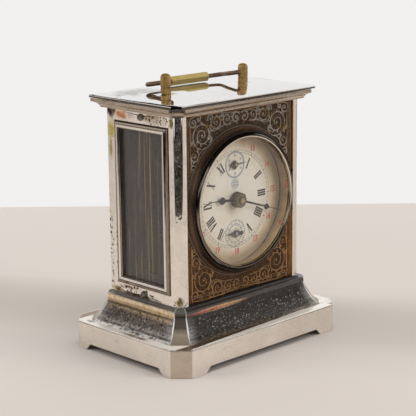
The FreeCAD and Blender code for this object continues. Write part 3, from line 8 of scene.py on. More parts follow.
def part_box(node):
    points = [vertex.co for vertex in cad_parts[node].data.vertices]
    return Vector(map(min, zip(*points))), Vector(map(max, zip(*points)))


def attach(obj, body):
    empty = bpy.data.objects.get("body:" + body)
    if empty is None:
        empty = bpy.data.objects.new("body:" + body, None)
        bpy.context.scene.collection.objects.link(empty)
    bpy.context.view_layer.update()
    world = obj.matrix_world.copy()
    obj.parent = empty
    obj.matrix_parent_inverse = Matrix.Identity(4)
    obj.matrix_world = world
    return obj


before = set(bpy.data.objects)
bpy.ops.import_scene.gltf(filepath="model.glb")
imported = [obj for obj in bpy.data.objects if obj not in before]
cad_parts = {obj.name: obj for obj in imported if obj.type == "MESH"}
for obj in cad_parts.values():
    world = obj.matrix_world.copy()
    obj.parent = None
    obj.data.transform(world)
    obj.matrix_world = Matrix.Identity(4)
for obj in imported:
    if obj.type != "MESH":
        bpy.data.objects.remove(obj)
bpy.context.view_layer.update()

# A worn carriage clock: nickelled case, embossed brass front, paper dial.  Lengths are in metres; MM turns
# millimetres into them.  The dial faces -Y, and many places are worked out from the frame's own boxes.
MM = 0.001
random.seed(1900)


def middle(node):
    """The middle of a node's box."""
    low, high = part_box(node)
    return (low + high) / 2


DIAL = middle("dial")
DIAL_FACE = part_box("dial")[0].y
PANEL_LOW, PANEL_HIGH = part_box("front_mask")
PANEL_FACE = -28.5 * MM
BODY_LOW, BODY_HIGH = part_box("side_panel_left")[0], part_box("side_panel_right")[1]
PLINTH_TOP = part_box("plinth")[1].z
PLINTH_CUT = 8.7 * MM
PLINTH_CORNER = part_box("plinth")[1].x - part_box("plinth")[0].y - PLINTH_CUT
COVE_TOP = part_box("base_moulding")[1].z
COVE_REACH = 12.7 * MM      # how far its foot stands out from the case
COVE_CUT, COVE_CUT_GROWTH = 3.2 * MM, 0.42      # its cut corner at the top, and how that widens downwards
PLATE_EDGE = 152.1 * MM
PLATE_BACK = Vector((-36, 20, 152)) * MM
RING_RADIUS = 44.2 * MM
RING_MIDDLE = Vector((0, 0, DIAL.z))
SMALL_DIAL = Vector((0, 0, 20.8 * MM))
SECONDS_DIAL, ALARM_DIAL = DIAL + SMALL_DIAL, DIAL - SMALL_DIAL


# ===== Materials =====


def arithmetic(operation):
    """A Paint method that works out one value from one or two others."""
    def method(self, first, second=0.0, clamp=False):
        made = self.node("Math", {0: first, 1: second}, operation=operation, use_clamp=clamp)
        return made.outputs[0]
    return method


class Paint:
    """A procedural material.  Its textures lie in the clock's own frame, so they need no unwrapping."""

    def __init__(self, name, **constants):
        self.material = bpy.data.materials.new(name)
        self.material.use_nodes = True
        self.tree = self.material.node_tree
        self.shader = self.tree.nodes["Principled BSDF"]
        self.place = self.tree.nodes.new("ShaderNodeTexCoord").outputs["Object"]
        self.axes = self.node("SeparateXYZ", {0: self.place}).outputs
        self.x, self.y, self.z = self.axes
        for socket, value in constants.items():
            self.shader.inputs[socket.replace("_", " ")].default_value = value

    def node(self, kind, inputs, **settings):
        """A new node of a kind such as "Math", with values or links at its inputs."""
        made = self.tree.nodes.new("ShaderNode" + kind)
        for key, value in settings.items():
            setattr(made, key, value)
        for key, value in inputs.items():
            if isinstance(value, bpy.types.NodeSocket):
                self.tree.links.new(value, made.inputs[key])
            else:
                made.inputs[key].default_value = value
        return made

    plus, minus, times, over = (arithmetic(name) for name in ("ADD", "SUBTRACT", "MULTIPLY", "DIVIDE"))
    larger, power, absolute, root = (arithmetic(name) for name in ("MAXIMUM", "POWER", "ABSOLUTE", "SQRT"))

    def stretched(self, scale, shift=(0, 0, 0)):
        return self.node("Mapping", {"Vector": self.place, "Scale": scale, "Location": shift}).outputs[0]

    def noise(self, size, detail=4.0, rough=0.55, stretch=None, shift=(0, 0, 0), warp=0.0):
        """Cloudy noise whose features are about `size` mm across."""
        vector = self.stretched(stretch or (1, 1, 1), shift)
        inputs = {"Vector": vector, "Scale": 1 / (size * MM), "Detail": detail, "Roughness": rough,
                  "Distortion": warp}
        return self.node("TexNoise", inputs).outputs["Fac"]

    def ragged(self, amount, *noise, **more):
        """Noise about zero, `amount` from its lowest to its highest, to make an edge uneven."""
        return self.times(self.minus(self.noise(*noise, **more), 0.5), amount)

    def specks(self, size, radius, shift=(0, 0, 0)):
        """1 inside small round spots scattered about one `size` apart, in mm, 0 outside."""
        straight = self.stretched((1, 1, 1), shift)
        drift = self.node("TexNoise", {"Vector": self.place, "Scale": 3 / (size * MM)})
        mixed = {"Fac": SPECK_DRIFT, "Color1": straight, "Color2": drift.outputs["Color"]}
        vector = self.node("MixRGB", mixed, blend_type="LINEAR_LIGHT").outputs[0]
        cells = self.node("TexVoronoi", {"Vector": vector, "Scale": 1 / (size * MM)})
        chance = self.node("SeparateColor", {0: cells.outputs["Color"]}).outputs[0]
        grown = self.times(chance, radius / size)
        return self.step(cells.outputs["Distance"], grown, 0.06)

    def step(self, value, edge, soft):
        """1 below the edge, 0 above it."""
        return self.plus(self.over(self.minus(edge, value), soft), 0.5, clamp=True)

    def ramp(self, value, stops):
        """Colour by a value from 0 to 1; a stop is (value, red, green, blue)."""
        made = self.node("ValToRGB", {0: value})
        elements = made.color_ramp.elements
        while len(elements) < len(stops):
            elements.new(1.0)
        for element, (at, *colour) in zip(elements, stops):
            element.position = at
            element.color = (*colour, 1)
        return made.outputs["Color"]

    def between(self, value, low, high, start=0.0, end=1.0):
        """`start` where the value is `low`, `end` where it is `high`, and level beyond them."""
        inputs = {"Value": value, "From Min": low, "From Max": high, "To Min": start, "To Max": end}
        return self.node("MapRange", inputs).outputs[0]

    def rough(self, noise, start, end):
        """Roughness that goes from `start` to `end` with a noise."""
        return self.between(noise, 0.3, 0.7, start, end)

    def mix(self, share, first, second):
        first, second = (c if isinstance(c, bpy.types.NodeSocket) else (*c, 1) for c in (first, second))
        return self.node("MixRGB", {"Fac": share, "Color1": first, "Color2": second}).outputs[0]

    def veiled(self, colour, noise, low, high, share, tint):
        """The colour under a tint: none of it where the noise is `low`, `share` where it is `high`."""
        return self.mix(self.between(noise, low, high, 0.0, share), colour, tint)

    def washed(self, colour, mask, share, tint):
        """The colour with `share` of a tint laid over it where the mask is 1."""
        return self.mix(self.times(mask, share), colour, tint)

    def patch(self, centre, spread, uneven=0.6, grain=4):
        """A ragged stain: 1 at a place, fading to 0 at `spread` mm from it along each axis."""
        parts = []
        for axis, (at, reach) in enumerate(zip(centre, spread)):
            if reach:
                offset = self.over(self.minus(self.axes[axis], at), reach * MM)
                parts.append(self.times(offset, offset))
        total = parts[0]
        for part in parts[1:]:
            total = self.plus(total, part)
        rough = self.ragged(uneven * 4, grain, 5)
        return self.minus(1.0, self.plus(total, rough), clamp=True)

    def radius_about(self, centre):
        """Distance from the dial's axis, or from a line parallel to it."""
        x, z = self.minus(self.x, centre.x), self.minus(self.z, centre.z)
        return self.root(self.plus(self.times(x, x), self.times(z, z)))

    def bump(self, height, depth, strength=1.0, base=None):
        inputs = {"Height": height, "Distance": depth, "Strength": strength}
        if base is not None:
            inputs["Normal"] = base
        return self.node("Bump", inputs).outputs[0]

    def finish(self, colour=None, roughness=None, metallic=None, normal=None, alpha=None):
        links = {"Base Color": colour, "Roughness": roughness, "Metallic": metallic, "Normal": normal,
                 "Alpha": alpha}
        for socket, source in links.items():
            if source is not None:
                self.tree.links.new(source, self.shader.inputs[socket])
        return self.material


SPECK_DRIFT = 0.006         # how far the pattern of specks is bent
NICKEL = (0.98, 0.92, 0.845)
TARNISH = (0.50, 0.39, 0.27)
PIT = (0.045, 0.032, 0.022)


def nickel(name, tarnish, pits, gloss, seed, tint=NICKEL, mottle=0.22, stains=(), crowds=(), corner=None,
           top=None):
    """Old nickel plate: a warm sheen, cloudy tarnish, dark pits and any stains of its own.

    A stain is (centre, spread, colour, dullness); a crowd of fine pits is (centre, spread).  `corner` is
    the sum of the two level distances at which a cut-off corner's face lies; that face is darker in colour.
    `top` is the level of a top face, which has a less metallic film but for a tapering brown strip, a
    painted reflection of the moulding.
    """
    paint = Paint(name, Metallic=1.0)
    shift = (seed, seed * 0.7, seed * 1.3)
    cloud = paint.noise(14, 6, 0.62, shift=shift)
    colour = paint.veiled(tint, cloud, 0.42, 0.78, tarnish, TARNISH)
    fine = paint.noise(1.1, 3, 0.6, shift=shift)
    colour = paint.veiled(colour, fine, 0.45, 0.8, mottle, (0.52, 0.44, 0.34))
    rough = paint.between(cloud, 0.35, 0.8, gloss, gloss * 1.9)
    if corner:
        outside = paint.plus(paint.absolute(paint.x), paint.absolute(paint.y))
        cut = paint.between(outside, corner - 0.35 * MM, corner - 0.1 * MM, 0.0, 0.75)
        colour = paint.mix(cut, colour, (0.50, 0.42, 0.31))
    gather = paint.between(paint.noise(9, 3, 0.6, shift=(seed + 2, 0, 0)), 0.42, 0.72, 0.12, 1.0)
    holes = paint.times(paint.specks(1.7, pits * 1.7, shift), gather)
    for centre, spread, stain, dull in stains:
        mask = paint.patch(centre, spread)
        colour = paint.mix(mask, colour, stain)
        rough = paint.larger(rough, paint.times(mask, dull))
    for k, (centre, spread) in enumerate(crowds):
        many = paint.between(paint.noise(1.5, 3, 0.65, shift=(seed, 3 + k, 1)), 0.555, 0.585)
        crowded = paint.times(paint.patch(centre, spread, 0.5, 3.5), 3.0, clamp=True)
        colour = paint.washed(colour, many, crowded, PIT)
    colour = paint.mix(holes, colour, PIT)
    rough = paint.larger(rough, paint.times(holes, 0.7))
    waves = paint.bump(paint.noise(7, 2, 0.5, shift=shift), 0.00006)
    normal = paint.bump(holes, -0.00012, base=waves)
    if not top:
        return paint.finish(colour, rough, normal=normal)
    upper = paint.between(paint.z, top - 0.2 * MM, top - 0.1 * MM)
    from_foot = paint.minus(paint.absolute(paint.y), COVE_REACH - BODY_LOW.y)
    narrowing = paint.between(paint.x, -60 * MM, 34 * MM, 5.2 * MM, 0.0)
    # Painted reflection: a tapering brown strip on the top face beside the moulding, where the dark moulding
    # is mirrored.
    dark_reflection_wedge = paint.step(from_foot, paint.plus(narrowing, paint.ragged(2 * MM, 9, 4)), 0.5 * MM)
    dark_reflection_wedge = paint.times(dark_reflection_wedge, paint.between(from_foot, -0.6 * MM, 0.0))
    colour = paint.washed(colour, dark_reflection_wedge, upper, (0.30, 0.20, 0.13))
    film = paint.times(upper, paint.between(dark_reflection_wedge, 0.0, 1.0, 0.62, 0.15))
    return paint.finish(colour, rough, paint.minus(1.0, film), normal=normal)


def polished_plate():
    """The bright top plate: nearly a mirror, with faint scratches and a few dull clouds, and painted shade
    on its upright edge.
    """
    paint = Paint("polished nickel", Metallic=1.0)
    scratch = paint.noise(0.5, 2, 0.5, stretch=(0.06, 1.0, 1.0), shift=(3, 1, 0))
    cross = paint.noise(0.5, 2, 0.5, stretch=(1.0, 0.08, 1.0), shift=(1, 4, 0))
    lines = paint.between(paint.larger(scratch, cross), 0.66, 0.74)
    cloud = paint.noise(16, 6, 0.65, shift=(7, 2, 0), warp=0.6)
    dull = paint.between(cloud, 0.55, 0.8)
    colour = paint.mix(paint.times(dull, 0.5), (0.86, 0.85, 0.84), (0.60, 0.56, 0.50))
    smudges = paint.patch(PLATE_BACK, (20, 14, 0), 0.9, 5)
    colour = paint.washed(colour, smudges, 0.85, (0.22, 0.19, 0.16))
    colour = paint.washed(colour, lines, 0.10, (0.5, 0.47, 0.42))
    specks = paint.specks(4, 0.6, (5, 5, 5))
    colour = paint.washed(colour, specks, 0.75, (0.22, 0.18, 0.14))
    for post in (middle("handle_post_left"), middle("handle_post_right")):
        colour = paint.washed(colour, paint.patch(post, (5.5, 5.5, 0)), 0.8, (0.42, 0.33, 0.23))
    # Painted shade: the plate's upright edge, below its top, is painted nearly black.
    normal = paint.node("NewGeometry", {}).outputs["Normal"]
    facing = paint.node("SeparateXYZ", {0: normal}).outputs
    upright = paint.between(paint.absolute(facing[2]), 0.75, 0.35)
    edge = paint.times(paint.step(paint.z, PLATE_EDGE - 0.4 * MM, 0.1 * MM), upright)
    colour = paint.mix(edge, colour, (0.11, 0.09, 0.075))
    rough = paint.plus(paint.times(dull, 0.16), 0.035)
    normal = paint.bump(paint.noise(30, 1, 0.4), 0.0001, 0.5)
    return paint.finish(colour, rough, normal=normal)


def brass(name, tint, dark, gloss, grain, wear, seed, polish=None, metallic=1.0):
    """Brass with brown patina in clouds and fine pores; its metallic share is given."""
    paint = Paint(name, Metallic=metallic)
    shift = (seed, seed, seed)
    cloud = paint.noise(grain, 6, 0.65, shift=shift)
    pores = paint.noise(grain / 7, 4, 0.7, shift=shift)
    dirt_and_shade = paint.plus(paint.times(cloud, 0.65), paint.times(pores, 0.35))
    share = paint.between(dirt_and_shade, 0.4, 0.66, 0.0, wear)
    colour = paint.mix(share, tint, dark)
    rough = paint.between(cloud, 0.3, 0.75, gloss, gloss + 0.22)
    if polish:
        lines = paint.noise(0.35, 2, 0.5, stretch=polish)
        rough = paint.plus(rough, paint.times(lines, 0.12))
    return paint.finish(colour, rough, normal=paint.bump(pores, 0.00005))


def steel(name, tint, gloss, seed):
    """Grey metal, darker in clouds."""
    paint = Paint(name, Metallic=1.0)
    cloud = paint.noise(4, 5, 0.6, shift=(seed, 0, seed))
    dark = tuple(c * 0.45 for c in tint)
    colour = paint.veiled(tint, cloud, 0.42, 0.75, 0.7, dark)
    return paint.finish(colour, paint.rough(cloud, gloss, gloss + 0.25),
                        normal=paint.bump(cloud, 0.00004))


def blackened(name):
    """Blackened steel of the hands, worn brown on its high spots, with a brassy boss in the middle."""
    paint = Paint(name, Metallic=0.6)
    cloud = paint.noise(1.6, 4, 0.6)
    colour = paint.mix(paint.between(cloud, 0.5, 0.8, 0, 0.8), (0.022, 0.021, 0.02), (0.11, 0.075, 0.045))
    radius = paint.radius_about(DIAL)
    boss = paint.ramp(paint.between(radius, 0.0, 5 * MM), [
        (0.0, 0.60, 0.46, 0.27), (0.28, 0.46, 0.33, 0.18), (0.36, 0.08, 0.055, 0.035),
        (0.62, 0.24, 0.17, 0.10), (0.86, 0.10, 0.07, 0.045)])
    colour = paint.mix(paint.step(radius, 4.7 * MM, 0.5 * MM), colour, boss)
    return paint.finish(colour, paint.rough(cloud, 0.32, 0.6))


def bronze_panel():
    """Embossed brass gone brown; its pressed ring is banded in copper, black and brown, the black beside the
    bezel being painted shade.
    """
    paint = Paint("bronze panel", Metallic=0.85)
    cloud = paint.noise(9, 6, 0.62, shift=(1, 5, 2))
    grain = paint.noise(0.9, 4, 0.7)
    field = paint.mix(paint.between(cloud, 0.35, 0.7), (0.095, 0.060, 0.036), (0.16, 0.108, 0.070))
    lower = paint.between(paint.z, RING_MIDDLE.z + 6 * MM, RING_MIDDLE.z - 30 * MM, 0.0, 0.5)
    field = paint.mix(lower, field, (0.14, 0.062, 0.022))
    field = paint.veiled(field, grain, 0.42, 0.62, 0.9, (0.025, 0.017, 0.012))
    radius = paint.radius_about(RING_MIDDLE)
    # Painted shade: the black of the ring next to the bezel stands in for the shade in its hollow.
    bands = paint.ramp(paint.between(radius, 40 * MM, 46 * MM), [
        (0.0, 0.03, 0.024, 0.02), (0.22, 0.035, 0.028, 0.022), (0.33, 0.05, 0.034, 0.024),
        (0.42, 0.15, 0.088, 0.052), (0.58, 0.13, 0.07, 0.04), (0.64, 0.07, 0.045, 0.03),
        (0.70, 0.36, 0.31, 0.25), (0.78, 0.08, 0.055, 0.04)])
    inside = paint.step(radius, RING_RADIUS + 0.6 * MM, 0.4 * MM)
    wear_and_sheen = paint.veiled(bands, grain, 0.45, 0.7, 0.5, (0.06, 0.042, 0.03))
    colour = paint.mix(inside, field, wear_and_sheen)
    rough = paint.mix(inside, paint.rough(grain, 0.42, 0.65),
                      paint.rough(grain, 0.2, 0.38))
    return paint.finish(colour, rough, normal=paint.bump(grain, 0.00012))


def relief_metal(name, seed, upper, lower, dark):
    """The raised ornament: silvery above the dial, coppery below it, with yellow bits near the top."""
    paint = Paint(name, Metallic=0.9)
    cloud = paint.noise(11, 5, 0.6, shift=(seed, seed, 0))
    grain = paint.noise(0.8, 3, 0.65)
    level = paint.plus(paint.z, paint.times(cloud, 30 * MM))
    high = paint.between(level, DIAL.z - 8 * MM, DIAL.z + 36 * MM)
    tint = paint.mix(high, lower, upper)
    yellow = paint.times(paint.step(paint.noise(5, 4, 0.6, shift=(9, 0, 3)), 0.42, 0.05), high)
    tint = paint.mix(yellow, tint, (0.42, 0.29, 0.10))
    share = paint.plus(paint.between(cloud, 0.35, 0.7, 0, 0.5), paint.between(grain, 0.4, 0.7, 0, 0.4))
    return paint.finish(paint.mix(share, tint, dark), paint.rough(grain, 0.26, 0.45),
                        normal=paint.bump(grain, 0.00005))


def dial_wall():
    """The bright wall round the dial: it mirrors the dial, and has painted shade where the two meet, heavier
    to the right.
    """
    paint = Paint("dial wall brass", Metallic=1.0)
    cloud = paint.noise(9, 5, 0.6, shift=(2, 2, 2))
    colour = paint.mix(paint.between(cloud, 0.4, 0.7), (0.80, 0.70, 0.50), (0.56, 0.47, 0.31))
    # Painted shade: a ragged dark rim where the wall meets the dial, heavier towards the right.
    ragged = paint.times(paint.noise(6, 5, 0.65), 5.0 * MM)
    depth = paint.plus(paint.y, ragged)
    dirt_and_shade = paint.between(depth, DIAL_FACE + 0.9 * MM, DIAL_FACE + 2.2 * MM)
    aside = paint.between(paint.x, -6 * MM, 14 * MM, 0.25, 1.0)
    colour = paint.washed(colour, dirt_and_shade, aside, (0.13, 0.068, 0.028))
    above = paint.patch(DIAL + Vector((25 * MM, 0, 27 * MM)), (15, 0, 13))
    colour = paint.washed(colour, above, 0.75, (0.20, 0.15, 0.07))
    return paint.finish(colour, paint.rough(cloud, 0.08, 0.2))


def dial_card():
    """Cream dial, browned towards its rim, with a few foxed spots and a brown bloom under the hub, the hub's
    painted shadow.
    """
    paint = Paint("dial card", Roughness=0.42)
    paint.shader.inputs["Specular IOR Level"].default_value = 0.35
    radius = paint.radius_about(DIAL)
    wavy = paint.plus(radius, paint.times(paint.noise(12, 5, 0.6), 9 * MM))
    ageing = paint.ramp(paint.between(wavy, 26 * MM, 46 * MM), [
        (0.0, 0.86, 0.80, 0.69), (0.42, 0.79, 0.70, 0.54), (0.60, 0.60, 0.45, 0.28),
        (0.72, 0.44, 0.31, 0.17), (1.0, 0.38, 0.27, 0.16)])
    cloud = paint.noise(20, 5, 0.6, shift=(4, 4, 4))
    colour = paint.veiled(ageing, cloud, 0.5, 0.8, 0.45, (0.68, 0.56, 0.38))
    # The first patch, a little below and left of the middle, is the hub's painted shadow; the others are
    # stains on the small dials.
    for place, spread, share, tint in (
            (DIAL + Vector((-1 * MM, 0, -5 * MM)), (8, 0, 6), 0.28, (0.5, 0.36, 0.2)),
            (ALARM_DIAL, (4.5, 0, 4), 0.7, (0.42, 0.27, 0.13)),
            (SECONDS_DIAL, (3, 0, 3), 0.5, (0.45, 0.33, 0.2))):
        colour = paint.washed(colour, paint.patch(place, spread), share, tint)
    spots = paint.specks(5, 0.5)
    colour = paint.washed(colour, spots, 0.6, (0.42, 0.3, 0.18))
    return paint.finish(colour, normal=paint.bump(paint.noise(0.6, 3), 0.00002))


def print_ink(name, tint, wear_and_sheen=0.15):
    """Printing ink, thin in places."""
    paint = Paint(name, Roughness=0.6)
    wear = paint.noise(0.7, 4, 0.7)
    return paint.finish(paint.veiled(tint, wear, 0.5, 0.72, wear_and_sheen, (0.72, 0.64, 0.5)))


def clear_glass(name, haze, tint, dust_and_shade, streaks=0.0):
    """A thin pane: a mirror in the share that the angle gives, else a view through, with a film of grime,
    which near-black colours turn into painted shade.

    Streaks are thin gold-coloured lines that run down it.
    """
    paint = Paint(name, Metallic=0.0, Roughness=0.03)
    facing = paint.node("LayerWeight", {"Blend": 0.5}).outputs["Facing"]
    mirror = paint.plus(paint.times(paint.power(facing, 5.0), 0.95), 0.05)
    cloud = paint.noise(16, 6, 0.65, stretch=(1, 1, 0.4))
    film = paint.between(cloud, 0.35, 0.75, haze * 0.6, haze * 1.4)
    alpha = paint.plus(film, mirror, clamp=True)
    share = paint.over(mirror, alpha)
    dirt_and_shade = paint.mix(paint.between(cloud, 0.35, 0.75), tint, dust_and_shade)
    if streaks:
        thread = paint.noise(1.5, 3, 0.6, stretch=(1, 1, 0.012), shift=(0, 3, 0))
        fading = paint.times(paint.between(thread, 0.57, 0.66), streaks)
        dirt_and_shade = paint.washed(dirt_and_shade, fading, paint.noise(30, 3), (0.42, 0.27, 0.10))
    return paint.finish(paint.mix(share, dirt_and_shade, (1, 1, 1)), metallic=share, alpha=alpha)


def window_nickel():
    """The window's moulding: bright on its bead, brown on its slope, and dark inside its lip and at its
    foot, which is painted shade.
    """
    paint = Paint("window nickel", Metallic=1.0)
    proud = paint.minus(paint.absolute(paint.x), BODY_HIGH.x)
    level = paint.between(paint.plus(proud, paint.ragged(0.7 * MM, 3, 5, 0.65)), 0.0, 1.7 * MM)
    # Colour by height above the side: painted shade dark at the foot, brown on the slope, bright nickel on
    # the bead.
    colour = paint.ramp(level, [
        (0.0, 0.05, 0.035, 0.024), (0.26, 0.20, 0.15, 0.105), (0.45, 0.40, 0.34, 0.28),
        (0.60, 0.26, 0.21, 0.165), (0.78, 0.62, 0.56, 0.49), (0.94, 0.94, 0.90, 0.84)])
    return paint.finish(colour, paint.rough(paint.noise(6), 0.07, 0.22))


def bezel_nickel():
    """The bezel: a bright line at the glass, and outside it dark rings, a painted reflection of its dark
    surroundings.
    """
    paint = Paint("bezel nickel", Metallic=1.0)
    radius = paint.radius_about(DIAL)
    wavy = paint.plus(radius, paint.ragged(0.5 * MM, 4, 5, 0.6))
    # Painted reflection: outside the bright line the rings are painted dark, as the bezel mirrors dark
    # surroundings there.
    colour = paint.ramp(paint.between(wavy, 37.9 * MM, 40.3 * MM), [
        (0.0, 0.40, 0.33, 0.21), (0.12, 0.50, 0.42, 0.30), (0.20, 0.92, 0.88, 0.82),
        (0.33, 0.85, 0.80, 0.72), (0.42, 0.16, 0.125, 0.10),
        (0.62, 0.10, 0.08, 0.065), (0.80, 0.30, 0.25, 0.20), (1.0, 0.07, 0.052, 0.04)])
    return paint.finish(colour, paint.rough(paint.noise(5), 0.08, 0.2))


PLINTH_STAINS = [
    (Vector((-66.5, -8, 16.8)) * MM, (2.2, 12, 1), (0.20, 0.14, 0.09), 0.5),
    (Vector((-65.5, 33, 16.8)) * MM, (1.8, 4, 1), (0.24, 0.20, 0.16), 0.5),
    (Vector((62, -46.5, 16.8)) * MM, (4, 2, 1), (0.40, 0.38, 0.36), 0.4)]


# Marks on the side of the case, in mm.  A stain is (y, height above the edge, spread in y, spread upwards,
# colour, dullness).  A crowd of pits is (y, edge, height above the edge, spread in y, spread upwards).
STAINS_BY_TOP = [
    (19, -2.8, 6.5, 2.6, (0.85, 0.36, 0.12), 0.4), (10, -3.4, 4.4, 3.0, (0.95, 0.85, 0.78), 0.3),
    (15, -4.4, 2.6, 1.8, (0.75, 0.28, 0.12), 0.4), (26.5, -2.5, 5, 3.6, (0.06, 0.04, 0.025), 0.6),
    (26, -13, 4, 7, (0.80, 0.66, 0.13), 0.35), (27, -24, 2, 7, (0.62, 0.5, 0.22), 0.35),
    (-24.6, -3, 2.0, 5, (0.30, 0.24, 0.10), 0.45), (-10, -3, 14, 3.4, (0.60, 0.50, 0.36), 0.25)]
STAINS_BY_BOTTOM = [
    (24, 2, 6, 2, (0.36, 0.24, 0.11), 0.55), (6, 1.0, 22, 1.2, (0.20, 0.13, 0.07), 0.6),
    (12, 4.8, 10, 1.1, (0.32, 0.22, 0.12), 0.5)]
CROWDS = [(29, "bottom", 26, 2.6, 34), (23, "bottom", 22, 1.4, 26), (8, "bottom", 3, 20, 3.2),
          (-14, "top", -4, 13, 3.4), (-27, "bottom", 3, 3, 4)]


def side_panel_nickel(name, side, seed):
    """A side of the case, stained above the window, down the rear stile and along the bottom."""
    face = side * BODY_HIGH.x
    levels = {"top": BODY_HIGH.z, "bottom": BODY_LOW.z}
    stains = [((face, y * MM, levels[edge] + up * MM), (0, wide, tall), tint, dull)
              for edge, rows in (("top", STAINS_BY_TOP), ("bottom", STAINS_BY_BOTTOM))
              for y, up, wide, tall, tint, dull in rows]
    stains.append(((side * 49.5 * MM, -28.4 * MM, BODY_LOW.z + 3 * MM), (4, 2, 4), (0.33, 0.26, 0.10), 0.5))
    crowds = [((face, y * MM, levels[edge] + up * MM), (0, wide, tall))
              for y, edge, up, wide, tall in CROWDS]
    return nickel(name, 0.10, 0.34, 0.02, seed, mottle=0.06, stains=stains, crowds=crowds)


def cove_nickel():
    """The base moulding: dark pitted plate in level streaks, tan on its ledge, painted highlights at its
    mitres; its dark and light bands by height are painted reflection with stains.
    """
    paint = Paint("cove nickel")
    across = paint.minus(paint.absolute(paint.x), BODY_HIGH.x)
    along = paint.plus(paint.absolute(paint.y), BODY_LOW.y)
    turn = paint.minus(across, along)
    cut = paint.times(paint.larger(across, along), COVE_CUT_GROWTH)
    past_edge = paint.minus(paint.absolute(turn), paint.plus(cut, COVE_CUT))
    side = paint.between(turn, -1 * MM, 1 * MM)
    streak = paint.noise(1.1, 4, 0.65, stretch=(0.06, 0.06, 1.0), shift=(0, 0, 4))
    uneven = paint.times(paint.minus(streak, 0.5), 2 * MM)
    level = paint.plus(paint.z, uneven)
    height = paint.between(level, PLINTH_TOP, COVE_TOP)
    # Painted reflection with stains: the sides coloured by height, from a painted bright line at the foot,
    # through the dark cove, to the tan ledge and its dark top.
    side_stains_and_reflection = paint.ramp(height, [
        (0.0, 0.95, 0.91, 0.86), (0.055, 0.80, 0.76, 0.72), (0.085, 0.13, 0.10, 0.08),
        (0.16, 0.34, 0.30, 0.27), (0.27, 0.12, 0.095, 0.08), (0.50, 0.15, 0.11, 0.085),
        (0.60, 0.50, 0.36, 0.22), (0.67, 0.12, 0.08, 0.05), (0.73, 0.70, 0.52, 0.31),
        (0.90, 1.0, 0.80, 0.54), (0.95, 0.16, 0.14, 0.125)])
    # Painted reflection: the front coloured by height, mostly dark where the cove mirrors dark surroundings.
    front_reflection_bands = paint.ramp(height, [
        (0.0, 0.17, 0.13, 0.09), (0.10, 0.05, 0.043, 0.037), (0.55, 0.032, 0.028, 0.026),
        (0.76, 0.08, 0.07, 0.063), (0.88, 0.12, 0.11, 0.10), (0.95, 0.06, 0.053, 0.048)])
    # Painted reflection: a red-to-tan streak along the front under the ledge.
    wear_and_sheen = paint.patch(Vector((-24 * MM, 0, 30.8 * MM)), (27, 0, 1.6), 0.12)
    wear_and_sheen = paint.times(wear_and_sheen, 1.6, clamp=True)
    redder = paint.between(paint.x, -40 * MM, -12 * MM)
    front_reflection_bands = paint.mix(wear_and_sheen, front_reflection_bands, paint.mix(redder, (0.62, 0.25, 0.17), (0.66, 0.42, 0.24)))
    colour = paint.mix(side, front_reflection_bands, side_stains_and_reflection)
    fine = paint.noise(1.5, 5, 0.75, stretch=(0.7, 0.7, 1.0))
    below = paint.step(height, 0.66, 0.15)
    pitted = paint.times(paint.between(fine, 0.5, 0.56), paint.between(below, 0, 1, 0.35, 0.9))
    colour = paint.mix(pitted, colour, (0.022, 0.018, 0.015))
    flecks = paint.step(paint.noise(1.3, 4, 0.75, shift=(5, 1, 9)), 0.40, 0.03)
    colour = paint.washed(colour, flecks, paint.times(below, 0.6), (0.60, 0.54, 0.46))
    # Painted glow: the sides are lightened towards each mitre.
    painted_mitre_glow = paint.times(paint.between(past_edge, 7 * MM, 0.0), paint.step(height, 0.6, 0.5))
    painted_mitre_glow = paint.times(painted_mitre_glow, paint.between(streak, 0.4, 0.6, 0.25, 0.7))
    colour = paint.mix(painted_mitre_glow, colour, (0.56, 0.54, 0.52))
    # Painted reflection: the corner face coloured by height.
    corner_reflection_bands = paint.ramp(height, [
        (0.0, 0.30, 0.25, 0.18), (0.25, 0.40, 0.34, 0.25), (0.45, 0.10, 0.08, 0.062),
        (0.8, 0.06, 0.053, 0.046), (0.92, 0.16, 0.15, 0.14)])
    colour = paint.mix(paint.between(past_edge, 0.1 * MM, -0.2 * MM), colour, corner_reflection_bands)
    # Painted highlights: bright lines along the mitres, less metallic there.
    bright = paint.step(paint.absolute(past_edge), 0.36 * MM, 0.3 * MM)
    bright = paint.times(bright, paint.ramp(height, [
        (0.0, 0.0, 0.0, 0.0), (0.3, 0.9, 0.9, 0.9), (0.55, 1.0, 1.0, 1.0), (0.9, 0.25, 0.25, 0.25)]))
    colour = paint.mix(bright, colour, (1.0, 0.98, 0.95))
    metal = paint.minus(0.5, paint.times(bright, 0.5))
    rough = paint.rough(fine, 0.22, 0.45)
    return paint.finish(colour, rough, metallic=metal, normal=paint.bump(fine, 0.00008))


# ===== Dressing the frame's own nodes =====

BEVELLED = {        # nodes whose edges are rounded, and by how much in mm
    "plinth": 0.7, "base_moulding": 0.35, "cornice": 0.25, "top_plate": 0.3, "side_panel_left": 0.25,
    "side_panel_right": 0.25, "window_frame_left": 0.15, "window_frame_right": 0.15, "bail_grip": 0.2,
    "front_mask": 0.3, "back_frame": 0.15, "rear_door": 0.2, "hex_nuts": 0.12, "front_plate": 0.12,
    "rear_plate": 0.12, "minute_hand": 0.08, "hour_hand": 0.08}


def dress(material, nodes):
    """Give nodes, named in one string, a material, and round the edges that catch the light."""
    for name in nodes.split():
        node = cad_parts[name]
        node.data.materials.clear()
        node.data.materials.append(material)
        for face in node.data.polygons:
            face.material_index = 0
        if name in BEVELLED:
            weld = node.modifiers.new("weld", "WELD")
            weld.merge_threshold = 0.004 * MM
            bevel = node.modifiers.new("edges", "BEVEL")
            bevel.width = BEVELLED[name] * MM
            bevel.segments = 3
            bevel.limit_method = "ANGLE"
            bevel.angle_limit = radians(28)
            bevel.harden_normals = True


